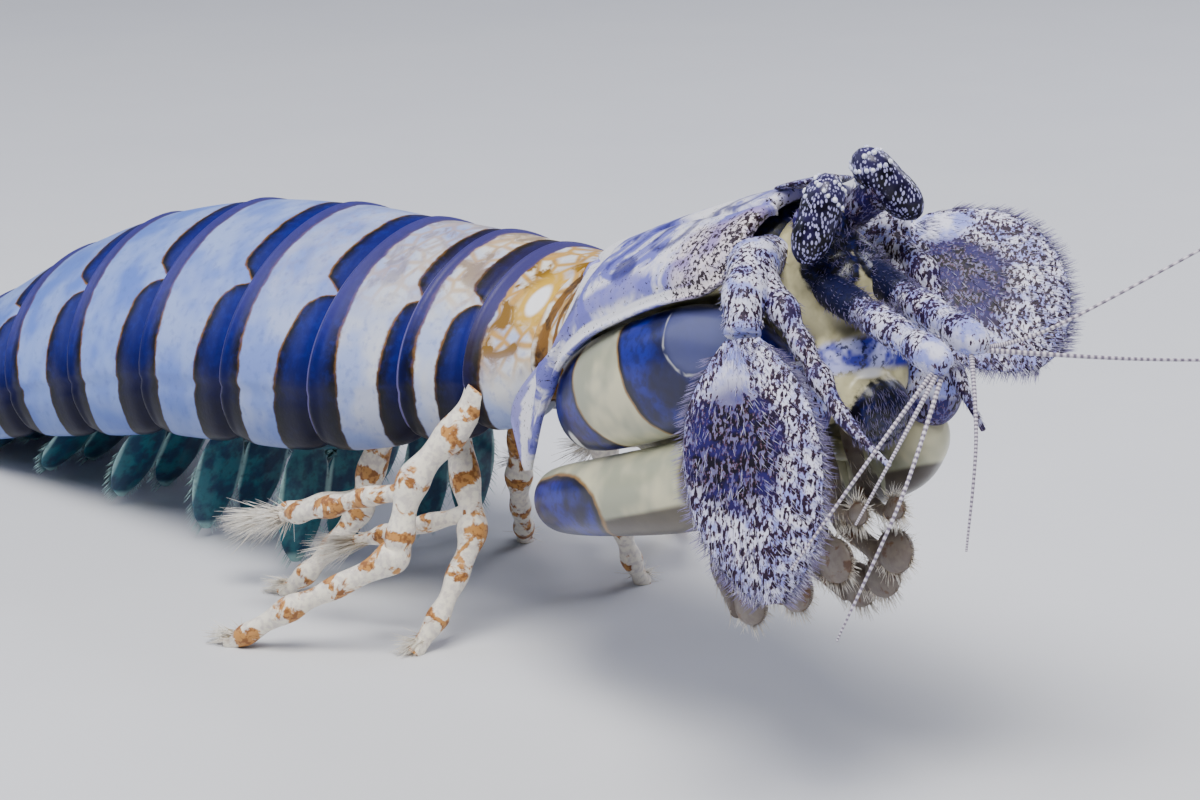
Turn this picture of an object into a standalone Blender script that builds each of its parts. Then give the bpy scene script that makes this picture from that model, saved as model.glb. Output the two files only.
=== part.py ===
"""Mantis shrimp (Lysiosquillina maculata), a still life-size model on a floor at z = 0.

Sizes below are millimetres. X runs from tail to head, Y to the animal's left, Z up.
The trunk is placed by stations along the back, the head and claws by a frame of their own
that is turned a little to the animal's right and raised.
"""
import math
import random

import bmesh
import bpy
from mathutils import Matrix, Vector

MM = 0.001
GAP = 0.3                       # clear space between neighbouring shells
POSE_CENTRE_X = -5.42           # middle of the pose's bounding box, moved to the origin
POSE_CENTRE_Y = -1.76
SIDES = (("r", -1.0), ("l", 1.0))

# Back line: x, y, z of the back, nose-up pitch, yaw, half width, depth to the shell's lower edge.
TRUNK_STATIONS = (
    (62.6, -1.5, 63.8, 20.5, -13.0, 15.4, 13.5),   # front of thoracic somite 5, under the carapace
    (50.5, 0.6, 60.3, 19.0, -10.5, 17.0, 20.8),
    (36.0, 0.9, 59.6, 14.0, -7.0, 19.2, 26.5),
    (23.0, 0.3, 59.5, 9.0, -4.0, 21.0, 30.0),
    (5.0, 0.0, 58.6, 3.0, -2.0, 24.0, 34.0),
    (-17.5, 0.0, 57.4, 2.0, 0.0, 25.7, 36.0),
    (-43.0, 0.0, 54.0, 7.0, 1.0, 26.5, 36.0),
    (-69.0, -1.0, 47.5, 16.0, 3.0, 26.5, 35.0),
    (-91.0, -3.0, 38.6, 22.0, 6.0, 26.0, 31.0),
    (-112.0, -6.0, 27.2, 25.0, 9.0, 24.5, 24.5),
    (-128.5, -9.0, 17.6, 24.0, 11.0, 20.5, 15.5),
)
SOMITE_NAMES = ("thorax_5", "thorax_6", "thorax_7", "thorax_8", "abdomen_1", "abdomen_2",
                "abdomen_3", "abdomen_4", "abdomen_5", "abdomen_6")
CREASE = 0.70                   # part of the depth at which the arch turns into the flank
ARCH_POWER = 1.16               # above 1 the arch has sloping shoulders, like a tent
ARCH_ANGLES = (0.0, 16.0, 34.0, 52.0, 71.0, 90.0)
STERNUM_RECESS = 3.2            # belly plate above the shell's lower edge
SHELL_STEP = 0.55               # a somite's rear edge stands out, its front edge tucks in

HEAD_PLACE = (56.0, 0.0, 61.5)  # middle of the back just ahead of the carapace's rear edge
HEAD_YAW = -13.0
HEAD_PITCH = 20.5

# Carapace, in the head's frame: x at the lower margin, height of the back, half width, depth of
# the margin, and how far the section's upper part lies ahead of it, which hollows the rear edge.
CARAPACE_STATIONS = (
    (-11.8, 2.5, 19.3, 23.5, 19.5), (-8.2, 2.8, 20.2, 31.0, 17.0), (-4.0, 2.8, 21.0, 29.5, 14.2),
    (2.0, 2.7, 21.5, 24.5, 10.5), (9.0, 2.6, 21.3, 19.0, 6.5), (18.0, 2.6, 20.4, 15.6, 2.5),
    (28.0, 2.5, 19.0, 14.2, 0.0), (38.0, 2.2, 17.4, 13.4, 0.0), (46.0, 1.8, 15.9, 13.2, 0.0),
    (51.0, 1.5, 14.2, 11.5, 0.0),
)
LOBE_TURN = (0.52, 0.96)        # parts of the depth between which the rear edge runs back
CREST_BACK = (0.5, 0.3)         # how far the back's middle lags, and down to which part of the depth
CARAPACE_THICKNESS = 1.1
CARAPACE_ARCH = 19.0            # most that the arch drops before the flank hangs straight
GROOVE_DEPTH = 0.7
GROOVE_START = (0.0, 12.0)      # x between which the long grooves rise from the rear
LEG_SECTION_SIDES = 8


def clear_scene():
    for obj in list(bpy.data.objects):
        bpy.data.objects.remove(obj, do_unlink=True)


clear_scene()
parts = bpy.data.collections.new("mantis_shrimp")
cutters = bpy.data.collections.new("cutters")
for collection in (parts, cutters):
    bpy.context.scene.collection.children.link(collection)


def frame_empty(name, place, yaw=0.0, pitch=0.0, parent=None):
    """An empty that carries the pieces of one frame; pitch raises its +X."""
    empty = bpy.data.objects.new(name, None)
    parts.objects.link(empty)
    empty.parent = parent
    empty.rotation_euler = (0.0, -math.radians(pitch), math.radians(yaw))
    empty.location = Vector(place) * MM
    bpy.context.view_layer.update()
    return empty


body_frame = frame_empty("pose", (-POSE_CENTRE_X, -POSE_CENTRE_Y, 0.0))
head_frame = frame_empty("head_pose", HEAD_PLACE, HEAD_YAW, HEAD_PITCH, body_frame)


def finish(name, colour, roughness):
    """A Principled material of one colour, taken from the photograph."""
    material = bpy.data.materials.new(name)
    material.use_nodes = True
    shader = material.node_tree.nodes["Principled BSDF"]
    shader.inputs["Base Color"].default_value = (*colour, 1.0)
    shader.inputs["Roughness"].default_value = roughness
    shader.inputs["Metallic"].default_value = 0.0
    return material


SHELL = ((0.62, 0.66, 0.78), 0.35)
CLAW = ((0.60, 0.60, 0.48), 0.25)
SPECKLED = ((0.45, 0.45, 0.62), 0.45)
LIMB = ((0.75, 0.68, 0.55), 0.45)
CORNEA = ((0.10, 0.09, 0.16), 0.15)
GILL = ((0.12, 0.32, 0.36), 0.4)


def place_mesh(name, mesh, frame, look, collection=parts):
    """An object for the mesh, in its frame, with a material of its own."""
    obj = bpy.data.objects.new(name, mesh)
    collection.objects.link(obj)
    obj.parent = frame
    mesh.materials.clear()
    mesh.materials.append(finish(name + "_finish", *look))
    for polygon in mesh.polygons:
        polygon.use_smooth = True
    mesh.set_sharp_from_angle(angle=math.radians(40.0))
    bpy.context.view_layer.update()
    return obj


def loft(name, rings, frame, look, closed=True):
    """A skin over rings of equal count: a closed body, or an open strip for Solidify."""
    mesh = bmesh.new()
    rows = [[mesh.verts.new(point * MM) for point in ring] for ring in rings]
    count = len(rows[0])
    for row, following in zip(rows, rows[1:]):
        for i in range(count if closed else count - 1):
            j = (i + 1) % count
            mesh.faces.new((row[i], row[j], following[j], following[i]))
    if closed:
        mesh.faces.new(rows[0])
        mesh.faces.new(rows[-1])
    bmesh.ops.recalc_face_normals(mesh, faces=mesh.faces)
    data = bpy.data.meshes.new(name)
    mesh.to_mesh(data)
    mesh.free()
    return place_mesh(name, data, frame, look)


def oval_rings(stations, across, sides):
    """Oval rings square to a path. A station is a point, its half width and its half depth."""
    across = Vector(across)
    points = [Vector(station[0]) for station in stations]
    rings = []
    for i, (_, half_width, half_depth) in enumerate(stations):
        along = (points[min(i + 1, len(points) - 1)] - points[max(i - 1, 0)]).normalized()
        up = along.cross(across).normalized()
        wide = up.cross(along)
        ring = []
        for k in range(sides):
            turn = math.tau * (k + 0.5) / sides
            ring.append(points[i] + wide * (half_width * math.cos(turn))
                        + up * (half_depth * math.sin(turn)))
        rings.append(ring)
    return rings


def oval_body(name, stations, across, frame, look, sides=LEG_SECTION_SIDES):
    return loft(name, oval_rings(stations, across, sides), frame, look)


def smooth_between(before, start, end, after, t):
    """Values between start and end on a Catmull-Rom curve, also for more than three values."""
    return tuple(0.5 * (2 * q + (r - p) * t + (2 * p - 5 * q + 4 * r - s) * t * t
                        + (3 * q - 3 * r + s - p) * t ** 3)
                 for p, q, r, s in zip(before, start, end, after))


def curved(points, steps):
    """Points on a smooth curve through the given ones."""
    ends = [points[0], *points, points[-1]]
    out = []
    for i in range(1, len(ends) - 2):
        out += [smooth_between(*ends[i - 1:i + 3], k / steps) for k in range(steps)]
    out.append(tuple(points[-1]))
    return out


def tube(name, route, frame, look, resolution=1):
    """A round tube from a poly curve. The route holds x, y, z and radius."""
    curve = bpy.data.curves.new(name, "CURVE")
    curve.dimensions = "3D"
    curve.bevel_depth = MM
    curve.bevel_resolution = resolution
    curve.use_fill_caps = True
    line = curve.splines.new("POLY")
    line.points.add(len(route) - 1)
    for point, (x, y, z, radius) in zip(line.points, route):
        point.co = (x * MM, y * MM, z * MM, 1.0)
        point.radius = radius
    holder = bpy.data.objects.new(name + "_curve", curve)
    cutters.objects.link(holder)
    bpy.context.view_layer.update()
    graph = bpy.context.evaluated_depsgraph_get()
    data = bpy.data.meshes.new_from_object(holder.evaluated_get(graph))
    bpy.data.objects.remove(holder, do_unlink=True)
    weld(data)
    data.name = name
    return place_mesh(name, data, frame, look)


def weld(data):
    """Joins the loose caps of a tube to its wall."""
    mesh = bmesh.new()
    mesh.from_mesh(data)
    bmesh.ops.remove_doubles(mesh, verts=mesh.verts, dist=0.001 * MM)
    bmesh.ops.recalc_face_normals(mesh, faces=mesh.faces)
    mesh.to_mesh(data)
    mesh.free()


def ball(name, centre, radii, frame, look, segments=12, rings=8):
    data = bpy.data.meshes.new(name)
    mesh = bmesh.new()
    bmesh.ops.create_uvsphere(mesh, u_segments=segments, v_segments=rings, radius=1.0)
    scale = Matrix.Diagonal((*[r * MM for r in radii], 1.0))
    place = Matrix.Translation(Vector(centre) * MM)
    bmesh.ops.transform(mesh, matrix=place @ scale, verts=mesh.verts)
    mesh.to_mesh(data)
    mesh.free()
    return place_mesh(name, data, frame, look)


def spine(name, root, tip, radius, frame, look, sides=5):
    """A tapered spine from its sunk root to its tip."""
    root, tip = Vector(root) * MM, Vector(tip) * MM
    length = (tip - root).length
    data = bpy.data.meshes.new(name)
    mesh = bmesh.new()
    bmesh.ops.create_cone(mesh, cap_ends=True, segments=sides, radius1=radius * MM,
                          radius2=0.12 * radius * MM, depth=length)
    turn = (tip - root).to_track_quat("Z", "Y").to_matrix().to_4x4()
    bmesh.ops.transform(mesh, matrix=Matrix.Translation((root + tip) / 2) @ turn, verts=mesh.verts)
    mesh.to_mesh(data)
    mesh.free()
    return place_mesh(name, data, frame, look)


def apply_modifiers(obj):
    """Replaces the mesh by what the viewport shows, and drops the modifiers."""
    bpy.context.view_layer.update()
    graph = bpy.context.evaluated_depsgraph_get()
    data = bpy.data.meshes.new_from_object(obj.evaluated_get(graph))
    obj.modifiers.clear()
    obj.data = data
    keep_largest(obj)


def keep_largest(obj):
    """Keeps only the largest closed surface of a mesh."""
    mesh = bmesh.new()
    mesh.from_mesh(obj.data)
    left = set(mesh.verts)
    islands = []
    while left:
        stack = [left.pop()]
        island = set(stack)
        while stack:
            for edge in stack.pop().link_edges:
                for vert in edge.verts:
                    if vert in left:
                        left.remove(vert)
                        island.add(vert)
                        stack.append(vert)
        islands.append(island)
    islands.sort(key=reach, reverse=True)
    for island in islands[1:]:
        bmesh.ops.delete(mesh, geom=list(island), context="VERTS")
    mesh.to_mesh(obj.data)
    mesh.free()


def reach(island):
    """Diagonal of the box round some vertices."""
    spans = [max(v.co[i] for v in island) - min(v.co[i] for v in island) for i in range(3)]
    return sum(span * span for span in spans)


def fuse(obj, pieces):
    """Joins the pieces to obj with one Boolean union."""
    if not pieces:
        return obj
    group = bpy.data.collections.new("joined")
    bpy.context.scene.collection.children.link(group)
    for piece in pieces:
        group.objects.link(piece)
    join = obj.modifiers.new("join", "BOOLEAN")
    join.operation = "UNION"
    join.operand_type = "COLLECTION"
    join.collection = group
    apply_modifiers(obj)
    for piece in pieces:
        bpy.data.objects.remove(piece, do_unlink=True)
    bpy.data.collections.remove(group)
    return obj


def cut_clear(obj, carriers, gap=1.35 * GAP):
    """Cuts obj clear of its carriers, each swollen by the gap (a little more, for their edges)."""
    swollen = []
    for carrier in carriers:
        cutter = carrier.copy()
        cutter.data = carrier.data.copy()
        cutters.objects.link(cutter)
        cutter.hide_render = True
        cutter.display_type = "WIRE"
        swell = cutter.modifiers.new("swell", "DISPLACE")
        swell.mid_level = 0.0
        swell.strength = gap * MM
        swollen.append(cutter)
    bpy.context.view_layer.update()
    for cutter in swollen:
        cut = obj.modifiers.new("cut", "BOOLEAN")
        cut.operation = "DIFFERENCE"
        cut.use_self = True     # a swollen cutter may cross itself in a crease
        cut.object = cutter
    apply_modifiers(obj)
    for cutter in swollen:
        bpy.data.objects.remove(cutter, do_unlink=True)
    return obj


def stand_on_floor(obj, height=0.0):
    """Cuts the body flat at the floor, so it rests on a small flat."""
    mesh = bmesh.new()
    mesh.from_mesh(obj.data)
    to_world = obj.matrix_world
    inverse = to_world.inverted()
    plane = inverse @ Vector((0.0, 0.0, height * MM))
    up = (inverse.to_3x3() @ Vector((0.0, 0.0, 1.0))).normalized()
    cut = bmesh.ops.bisect_plane(mesh, geom=mesh.verts[:] + mesh.edges[:] + mesh.faces[:],
                                 plane_co=plane, plane_no=up, clear_inner=True)
    edges = [item for item in cut["geom_cut"] if isinstance(item, bmesh.types.BMEdge)]
    bmesh.ops.holes_fill(mesh, edges=edges)
    bmesh.ops.recalc_face_normals(mesh, faces=mesh.faces)
    mesh.to_mesh(obj.data)
    mesh.free()
    return obj


def trunk_station(u):
    """The back line's values at u, counted in somites from the front."""
    last = len(TRUNK_STATIONS) - 1
    i = min(int(u), last - 1)
    before, after = TRUNK_STATIONS[max(i - 1, 0)], TRUNK_STATIONS[min(i + 2, last)]
    return smooth_between(before, TRUNK_STATIONS[i], TRUNK_STATIONS[i + 1], after, u - i)


def trunk_matrix(u):
    x, y, z, pitch, yaw, _, _ = trunk_station(u)
    turn = Matrix.Rotation(math.radians(yaw), 4, "Z") @ Matrix.Rotation(-math.radians(pitch), 4, "Y")
    return Matrix.Translation((x, y, z)) @ turn


def trunk_point(u, across, down):
    """A point on the plane of a trunk section."""
    return trunk_matrix(u) @ Vector((0.0, across, -down))


def arch_point(half_width, drop, angle):
    """Across and down on an arch with sloping shoulders, at an angle from its top."""
    t = math.radians(angle)
    return half_width * math.sin(t) ** ARCH_POWER, drop * (1.0 - max(math.cos(t), 0.0) ** ARCH_POWER)


def shell_outline(half_width, depth):
    """Half a section, from the back's middle to the belly's: pairs of across and down."""
    arch = [arch_point(half_width, CREASE * depth, angle) for angle in ARCH_ANGLES]
    sternum = depth - STERNUM_RECESS
    flank = [(0.99 * half_width, 0.84 * depth), (0.94 * half_width, 0.96 * depth),
             (0.87 * half_width, depth), (0.78 * half_width, 0.985 * depth)]
    return arch + flank + [(0.6 * half_width, sternum), (0.0, sternum)]


def mirrored(half):
    """A whole section from a half one, whose first and last points lie on the middle plane."""
    return half + [(-across, down) for across, down in reversed(half[1:-1])]


def trunk_ring(u, grow):
    values = trunk_station(u)
    outline = mirrored(shell_outline(values[5] + grow, values[6] + grow))
    matrix = trunk_matrix(u)
    return [matrix @ Vector((0.0, across, grow - down)) for across, down in outline]


def somite(index):
    """One trunk ring between two stations: tucked in at the front, standing out at the rear."""
    length = (trunk_point(index, 0, 0) - trunk_point(index + 1, 0, 0)).length
    half_gap = 0.5 * GAP * 1.3 / length
    steps = ((half_gap, -SHELL_STEP), (0.14, 0.0), (0.5, 0.1), (0.9, 0.5 * SHELL_STEP),
             (1.0 - half_gap, 0.15))
    rings = [trunk_ring(index + t, grow) for t, grow in steps]
    return loft(SOMITE_NAMES[index], rings, body_frame, SHELL)


def carapace_outline(x, back, half_width, depth):
    """Section of the carapace, from its right margin over the back to its left margin."""
    arch = min(CARAPACE_ARCH, 0.8 * depth)
    rise = (x - GROOVE_START[0]) / (GROOVE_START[1] - GROOVE_START[0])
    half = []
    for number, angle in enumerate((0.0, 12.0, 25.0, 34.0, 43.0, 60.0, 76.0, 90.0)):
        groove = GROOVE_DEPTH * min(max(rise, 0.0), 1.0) if number == 3 else 0.0
        across, down = arch_point(half_width - groove, arch, angle)
        half.append((across, back - down - groove))
    for part in (0.5, 1.0):
        half.append((half_width * (1.0 - 0.02 * part), back - arch - part * (depth - arch)))
    return [(-across, up) for across, up in reversed(half[1:])] + half


def sweep(part):
    """How far forward the carapace's section lies at a part of its depth, from 0 to 1."""
    t = min(max((part - LOBE_TURN[0]) / (LOBE_TURN[1] - LOBE_TURN[0]), 0.0), 1.0)
    lag, reach_down = CREST_BACK
    return 1.0 - t * t * (3.0 - 2.0 * t) - lag * max(1.0 - part / reach_down, 0.0) ** 1.5


def carapace():
    rings = []
    for x, back, half_width, depth, lean in CARAPACE_STATIONS:
        rings.append([Vector((x + lean * sweep((back - up) / depth), across, up))
                      for across, up in carapace_outline(x, back, half_width, depth)])
    obj = loft("carapace", rings, head_frame, SHELL, closed=False)
    face_up(obj)
    wall = obj.modifiers.new("wall", "SOLIDIFY")
    wall.thickness = CARAPACE_THICKNESS * MM
    wall.offset = -1.0
    apply_modifiers(obj)
    return obj


def face_up(obj):
    """Turns an open strip so that its faces look up and out."""
    mesh = bmesh.new()
    mesh.from_mesh(obj.data)
    if sum(face.normal.z * face.calc_area() for face in mesh.faces) < 0.0:
        bmesh.ops.reverse_faces(mesh, faces=mesh.faces)
    mesh.to_mesh(obj.data)
    mesh.free()


ROSTRAL_PLATE = (               # x, height, half width, half thickness
    (51.35, 0.9, 5.2, 0.5), (52.5, 0.95, 5.6, 0.6), (55.0, 0.9, 5.0, 0.6), (57.0, 0.7, 3.0, 0.55),
    (58.6, 0.5, 0.8, 0.3),
)


def rostral_plate():
    stations = [((x, 0.0, z), half_width, half_depth) for x, z, half_width, half_depth in ROSTRAL_PLATE]
    return oval_body("rostral_plate", stations, (0, 1, 0), head_frame, SPECKLED, 10)


def core_outline(wide, narrow, top, bottom):
    """Half section of the body under the carapace: broad above the claws, narrow between them."""
    roof = [arch_point(wide, 9.5, angle) for angle in (0.0, 25.0, 50.0, 90.0)]
    roof = [(across, down - top) for across, down in roof]
    shelf = roof[-1][1]
    return roof + [(0.97 * wide, shelf + 1.2), (narrow, shelf + 2.4), (narrow, 0.5 * (shelf - bottom)),
                   (0.92 * narrow, -bottom - 2.5), (0.6 * narrow, -bottom), (0.0, -bottom)]


CORE_STATIONS = (               # x, half width above, half width between the claws, top, bottom
    (-5.4, 15.0, 9.5, -0.6, -24.0), (0.0, 16.0, 9.8, 0.0, -28.0), (12.0, 16.0, 10.2, 0.2, -30.0),
    (28.0, 14.4, 9.6, 0.0, -30.0), (40.0, 12.6, 8.4, -0.4, -30.0), (46.5, 10.8, 7.4, -1.0, -29.0),
)


def thorax_core(shells):
    rings = []
    for x, wide, narrow, top, bottom in CORE_STATIONS:
        outline = mirrored(core_outline(wide, narrow, top, bottom))
        rings.append([Vector((x, across, -down)) for across, down in outline])
    return cut_clear(loft("thorax_core", rings, head_frame, LIMB), shells)


FACE_STATIONS = (               # x, half width, middle height, half height
    (46.95, 7.6, -14.0, 12.4), (48.5, 8.0, -14.0, 12.0), (53.5, 7.8, -14.6, 9.8), (56.5, 6.4, -15.8, 8.0),
    (59.0, 4.6, -16.4, 6.2), (60.4, 2.4, -16.8, 3.8),
)
LABRUM_CENTRE = (58.4, 0.0, -29.6)
LABRUM_RADII = (5.0, 4.9, 4.9)
MOUTH_FRAME_CENTRE = (57.2, 0.0, -22.4)
MOUTH_FRAME_RADII = (4.8, 5.6, 4.4)


def head():
    """Smooth face with the mouth frame and the round labrum under it, and the eyes' saddle."""
    stations = [((x, 0.0, z), half_width, half_height) for x, half_width, z, half_height in FACE_STATIONS]
    face = oval_body("head", stations, (0, 1, 0), head_frame, CLAW, 16)
    saddle = ball("saddle", (54.2, 0.0, -4.4), (3.6, 3.9, 2.5), head_frame, CLAW, 10, 6)
    mouth = ball("mouth", MOUTH_FRAME_CENTRE, MOUTH_FRAME_RADII, head_frame, CLAW, 10, 8)
    labrum = ball("labrum", LABRUM_CENTRE, LABRUM_RADII, head_frame, CLAW, 12, 8)
    return fuse(face, [saddle, mouth, labrum])


# Each eye is a long two-lobed cornea set across the end of its stalk: its upper and lower end.
EYE_ENDS = {
    "r": ((64.2, -4.3, -0.6), (60.8, -7.6, -9.4)),
    "l": ((62.2, 2.3, 2.4), (62.4, 8.6, -5.2)),
}
EYE_PROFILE = ((-0.10, 0.9), (0.0, 2.0), (0.16, 2.75), (0.34, 2.85), (0.5, 2.6), (0.66, 2.8), (0.84, 2.6),
               (1.0, 1.9), (1.10, 0.8))
EYE_STALK_BASE = {"r": (54.4, -2.6, -5.0), "l": (54.6, 2.6, -4.4)}


def eye(tag, head_obj):
    top, bottom = (Vector(point) for point in EYE_ENDS[tag])
    stations = [(top.lerp(bottom, t), 0.94 * radius, radius) for t, radius in EYE_PROFILE]
    cornea = oval_body("eye_" + tag, stations, (0, 1, 0.3), head_frame, CORNEA, 12)
    middle = top.lerp(bottom, 0.5)
    base = Vector(EYE_STALK_BASE[tag])
    route = [(base, 2.1, 2.1), (base.lerp(middle, 0.4), 2.3, 2.3), (middle, 2.5, 2.5)]
    stalk = oval_body("eyestalk_" + tag, route, (0, 0, 1), head_frame, SPECKLED)
    return cornea, cut_clear(stalk, [cornea, head_obj])


ANTENNULE_ROOT = {"r": (56.0, -3.4, -12.6), "l": (56.0, 3.4, -11.4)}
ANTENNULE_END = {"r": (82.0, -3.2, -26.6), "l": (79.0, 4.4, -24.6)}
# Ends of the three lashes of each antennule, with the point that each passes on its way.
LASHES = {
    "r": (((80.0, -15.0, -37.5), (75.0, -25.0, -48.8)), ((82.5, -12.0, -36.5), (81.0, -18.5, -44.7)),
          ((82.5, -12.5, -42.5), (78.0, -22.0, -58.2))),
    "l": (((80.6, 0.6, -37.0), (79.5, -2.7, -50.0)), ((84.5, 24.0, -29.6), (90.0, 46.0, -33.0)),
          ((82.0, 15.5, -23.6), (92.0, 46.0, -12.5))),
}
LASH_RADIUS = 0.62
LASH_TIP = 0.27


def antennule(tag, head_obj):
    """Three-jointed peduncle that ends in three thin lashes."""
    root, end = Vector(ANTENNULE_ROOT[tag]), Vector(ANTENNULE_END[tag])
    profile = ((0.0, 2.3), (0.32, 2.2), (0.40, 1.8), (0.48, 2.2), (0.68, 2.1), (0.74, 1.7), (0.80, 2.2),
               (0.96, 2.2), (1.03, 1.3))
    stations = [(root.lerp(end, t), radius, radius) for t, radius in profile]
    peduncle = oval_body("antennule_" + tag, stations, (0, 1, 0), head_frame, SPECKLED)
    lashes = []
    for number, (middle, tip) in enumerate(LASHES[tag]):
        start = end + Vector((-0.8, 0.7 * (number - 1), -0.7))
        route = curved(((*start, LASH_RADIUS), (*middle, 0.5 * (LASH_RADIUS + LASH_TIP)),
                        (*tip, LASH_TIP)), 4)
        lashes.append(tube("lash", route, head_frame, SPECKLED, 0))
    return cut_clear(fuse(peduncle, lashes), [head_obj])


# Antenna, in order from the head: joints of the base with radius, joints of the inner branch.
ANTENNA_BASE = {
    "r": ((50.5, -7.0, -8.0, 3.0), (54.0, -11.5, -9.0, 3.3), (57.6, -15.6, -13.5, 2.9),
          (58.7, -17.4, -18.2, 2.3)),
    "l": ((50.5, 7.0, -7.0, 3.0), (52.2, 10.4, -6.2, 3.0), (54.2, 12.9, -6.2, 2.6)),
}
ANTENNA_BRANCH = {
    "r": ((56.0, -11.6, -10.5, 1.8), (60.5, -11.9, -16.0, 1.9), (63.0, -11.4, -21.0, 1.4),
          (65.0, -10.8, -25.5, 1.5), (68.0, -10.0, -31.2, 0.9), (74.0, -8.3, -38.0, 0.3)),
    "l": ((53.8, 10.4, -8.0, 1.8), (58.5, 11.0, -13.0, 1.9), (60.5, 11.0, -18.0, 1.4),
          (62.0, 10.8, -22.6, 1.5), (64.0, 10.4, -28.6, 0.9), (68.0, 10.0, -35.0, 0.3)),
}
# Antennal scale: root and tip of the blade, and the direction its face looks.
SCALE_ROOT = {"r": (58.9, -17.7, -18.8), "l": (54.4, 13.2, -6.2)}
SCALE_TIP = {"r": (57.0, -18.6, -52.6), "l": (69.6, 20.7, -27.4)}
SCALE_FACE = {"r": (0.72, -0.69, 0.05), "l": (0.80, -0.45, 0.42)}
SCALE_HALF_WIDTH = {"r": 9.0, "l": 10.9}
SCALE_PROFILE = ((0.0, 0.26), (0.08, 0.52), (0.22, 0.84), (0.4, 1.0), (0.6, 0.98), (0.78, 0.80),
                 (0.92, 0.48), (1.0, 0.16))
SCALE_HALF_THICKNESS = 0.75


def round_joints(rows, side=1.0):
    """Stations of a round limb from x, y, z and radius, on the left or mirrored to the right."""
    return [(Vector((x, side * y, z)), radius, radius) for x, y, z, radius in rows]


def antenna(tag, carriers):
    base = oval_body("antenna_" + tag, round_joints(ANTENNA_BASE[tag]), (0, 0, 1), head_frame, SPECKLED)
    branch = oval_body("branch", round_joints(ANTENNA_BRANCH[tag]), (0, 1, 0), head_frame, SPECKLED, 6)
    return cut_clear(fuse(base, [branch]), carriers)


def antennal_scale(tag, antenna_obj):
    """Broad thin blade, a little domed towards its face."""
    root, tip, face = (Vector(v[tag]) for v in (SCALE_ROOT, SCALE_TIP, SCALE_FACE))
    along = (tip - root).normalized()
    across = face.cross(along).normalized()
    out = along.cross(across)
    if out.dot(face) < 0.0:
        out = -out
    stations = []
    for t, part in SCALE_PROFILE:
        dome = 1.6 * math.sin(math.pi * t)
        stations.append((root.lerp(tip, t) + out * dome, SCALE_HALF_WIDTH[tag] * part,
                         SCALE_HALF_THICKNESS * (0.5 + 0.5 * part)))
    blade = oval_body("antennal_scale_" + tag, stations, across, head_frame, SPECKLED, 12)
    return cut_clear(blade, [antenna_obj])


# Folded raptorial claw in the head's frame, for the left side: x, y, z, half thickness, half depth.
MERUS = ((0.6, 14.4, -21.9, 2.4, 3.2), (5.0, 15.3, -21.4, 4.0, 6.0), (14.0, 16.1, -20.6, 4.9, 7.8),
         (28.0, 15.5, -20.2, 5.0, 8.4), (40.0, 13.6, -19.9, 4.8, 8.0), (48.0, 11.9, -20.9, 4.1, 6.4),
         (53.0, 10.9, -22.6, 3.2, 4.4), (55.2, 10.5, -23.6, 2.2, 2.8))
PROPODUS = ((-8.2, 16.4, -33.0, 1.6, 1.8), (-6.2, 16.6, -33.3, 3.4, 3.9), (-1.0, 16.8, -33.8, 4.6, 5.0),
            (13.0, 16.1, -34.7, 4.9, 5.7), (30.0, 14.1, -35.4, 4.8, 6.2), (44.0, 11.9, -35.0, 4.4, 6.0),
            (52.0, 10.4, -34.0, 3.7, 4.8), (55.8, 9.8, -33.4, 2.6, 3.2), (57.4, 9.6, -33.0, 1.1, 1.3))
CARPUS_CENTRE = (57.0, 10.0, -27.8)
CARPUS_RADII = (4.6, 4.2, 5.4)
ISCHIUM = ((12.0, 8.0, -25.0, 2.2, 3.0), (9.0, 12.0, -24.0, 2.4, 3.2), (7.0, 15.0, -22.6, 2.4, 3.4))
DACTYL = ((-3.4, 13.6, -33.4, 1.2, 2.0), (0.0, 11.2, -32.6, 1.4, 2.3), (12.0, 9.9, -32.4, 1.35, 2.2),
          (26.0, 8.6, -32.9, 1.25, 2.0), (38.0, 7.4, -33.9, 1.1, 1.5), (46.5, 6.6, -35.6, 0.5, 0.6))
TOOTH_COUNT = 9
TOOTH_LENGTH = 6.6
TOOTH_RADIUS = 0.85


def side_stations(rows, side):
    return [(Vector((x, side * y, z)), half_width, half_depth) for x, y, z, half_width, half_depth in rows]


def raptorial_claw(tag, side, core):
    """Folded claw: merus forward, carpus at the front, propodus and toothed dactyl folded back."""
    merus = oval_body("merus_" + tag, side_stations(MERUS, side), (0, 1, 0), head_frame, CLAW, 12)
    ischium = oval_body("ischium", side_stations(ISCHIUM, side), (1, 0, 0), head_frame, CLAW, 8)
    cut_clear(fuse(merus, [ischium]), [core])
    propodus = oval_body("propodus_" + tag, side_stations(PROPODUS, side), (0, 1, 0), head_frame, CLAW, 12)
    cut_clear(propodus, [merus])
    centre = (CARPUS_CENTRE[0], side * CARPUS_CENTRE[1], CARPUS_CENTRE[2])
    carpus = ball("carpus_" + tag, centre, CARPUS_RADII, head_frame, CLAW, 12, 8)
    cut_clear(carpus, [merus, propodus])
    return merus, carpus, propodus, dactyl(tag, side, propodus)


def dactyl(tag, side, propodus):
    """Sickle blade on the propodus's inner side, with long teeth that point across it."""
    rows = side_stations(DACTYL, side)
    blade = oval_body("dactyl_" + tag, rows, (0, 1, 0), head_frame, CLAW, 8)
    teeth = []
    for number in range(TOOTH_COUNT):
        t = (number + 0.6) / TOOTH_COUNT
        at = curved([tuple(row[0]) for row in rows], 12)
        x, y, z = at[int(t * (len(at) - 1))]
        length = TOOTH_LENGTH * (0.72 + 0.28 * math.sin(math.pi * t))
        tip = (x + 1.8, y - side * 0.25, z - 0.6 - length)
        teeth.append(spine("tooth", (x, y, z), tip, TOOTH_RADIUS, head_frame, CLAW))
    return cut_clear(fuse(blade, teeth), [propodus])


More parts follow.
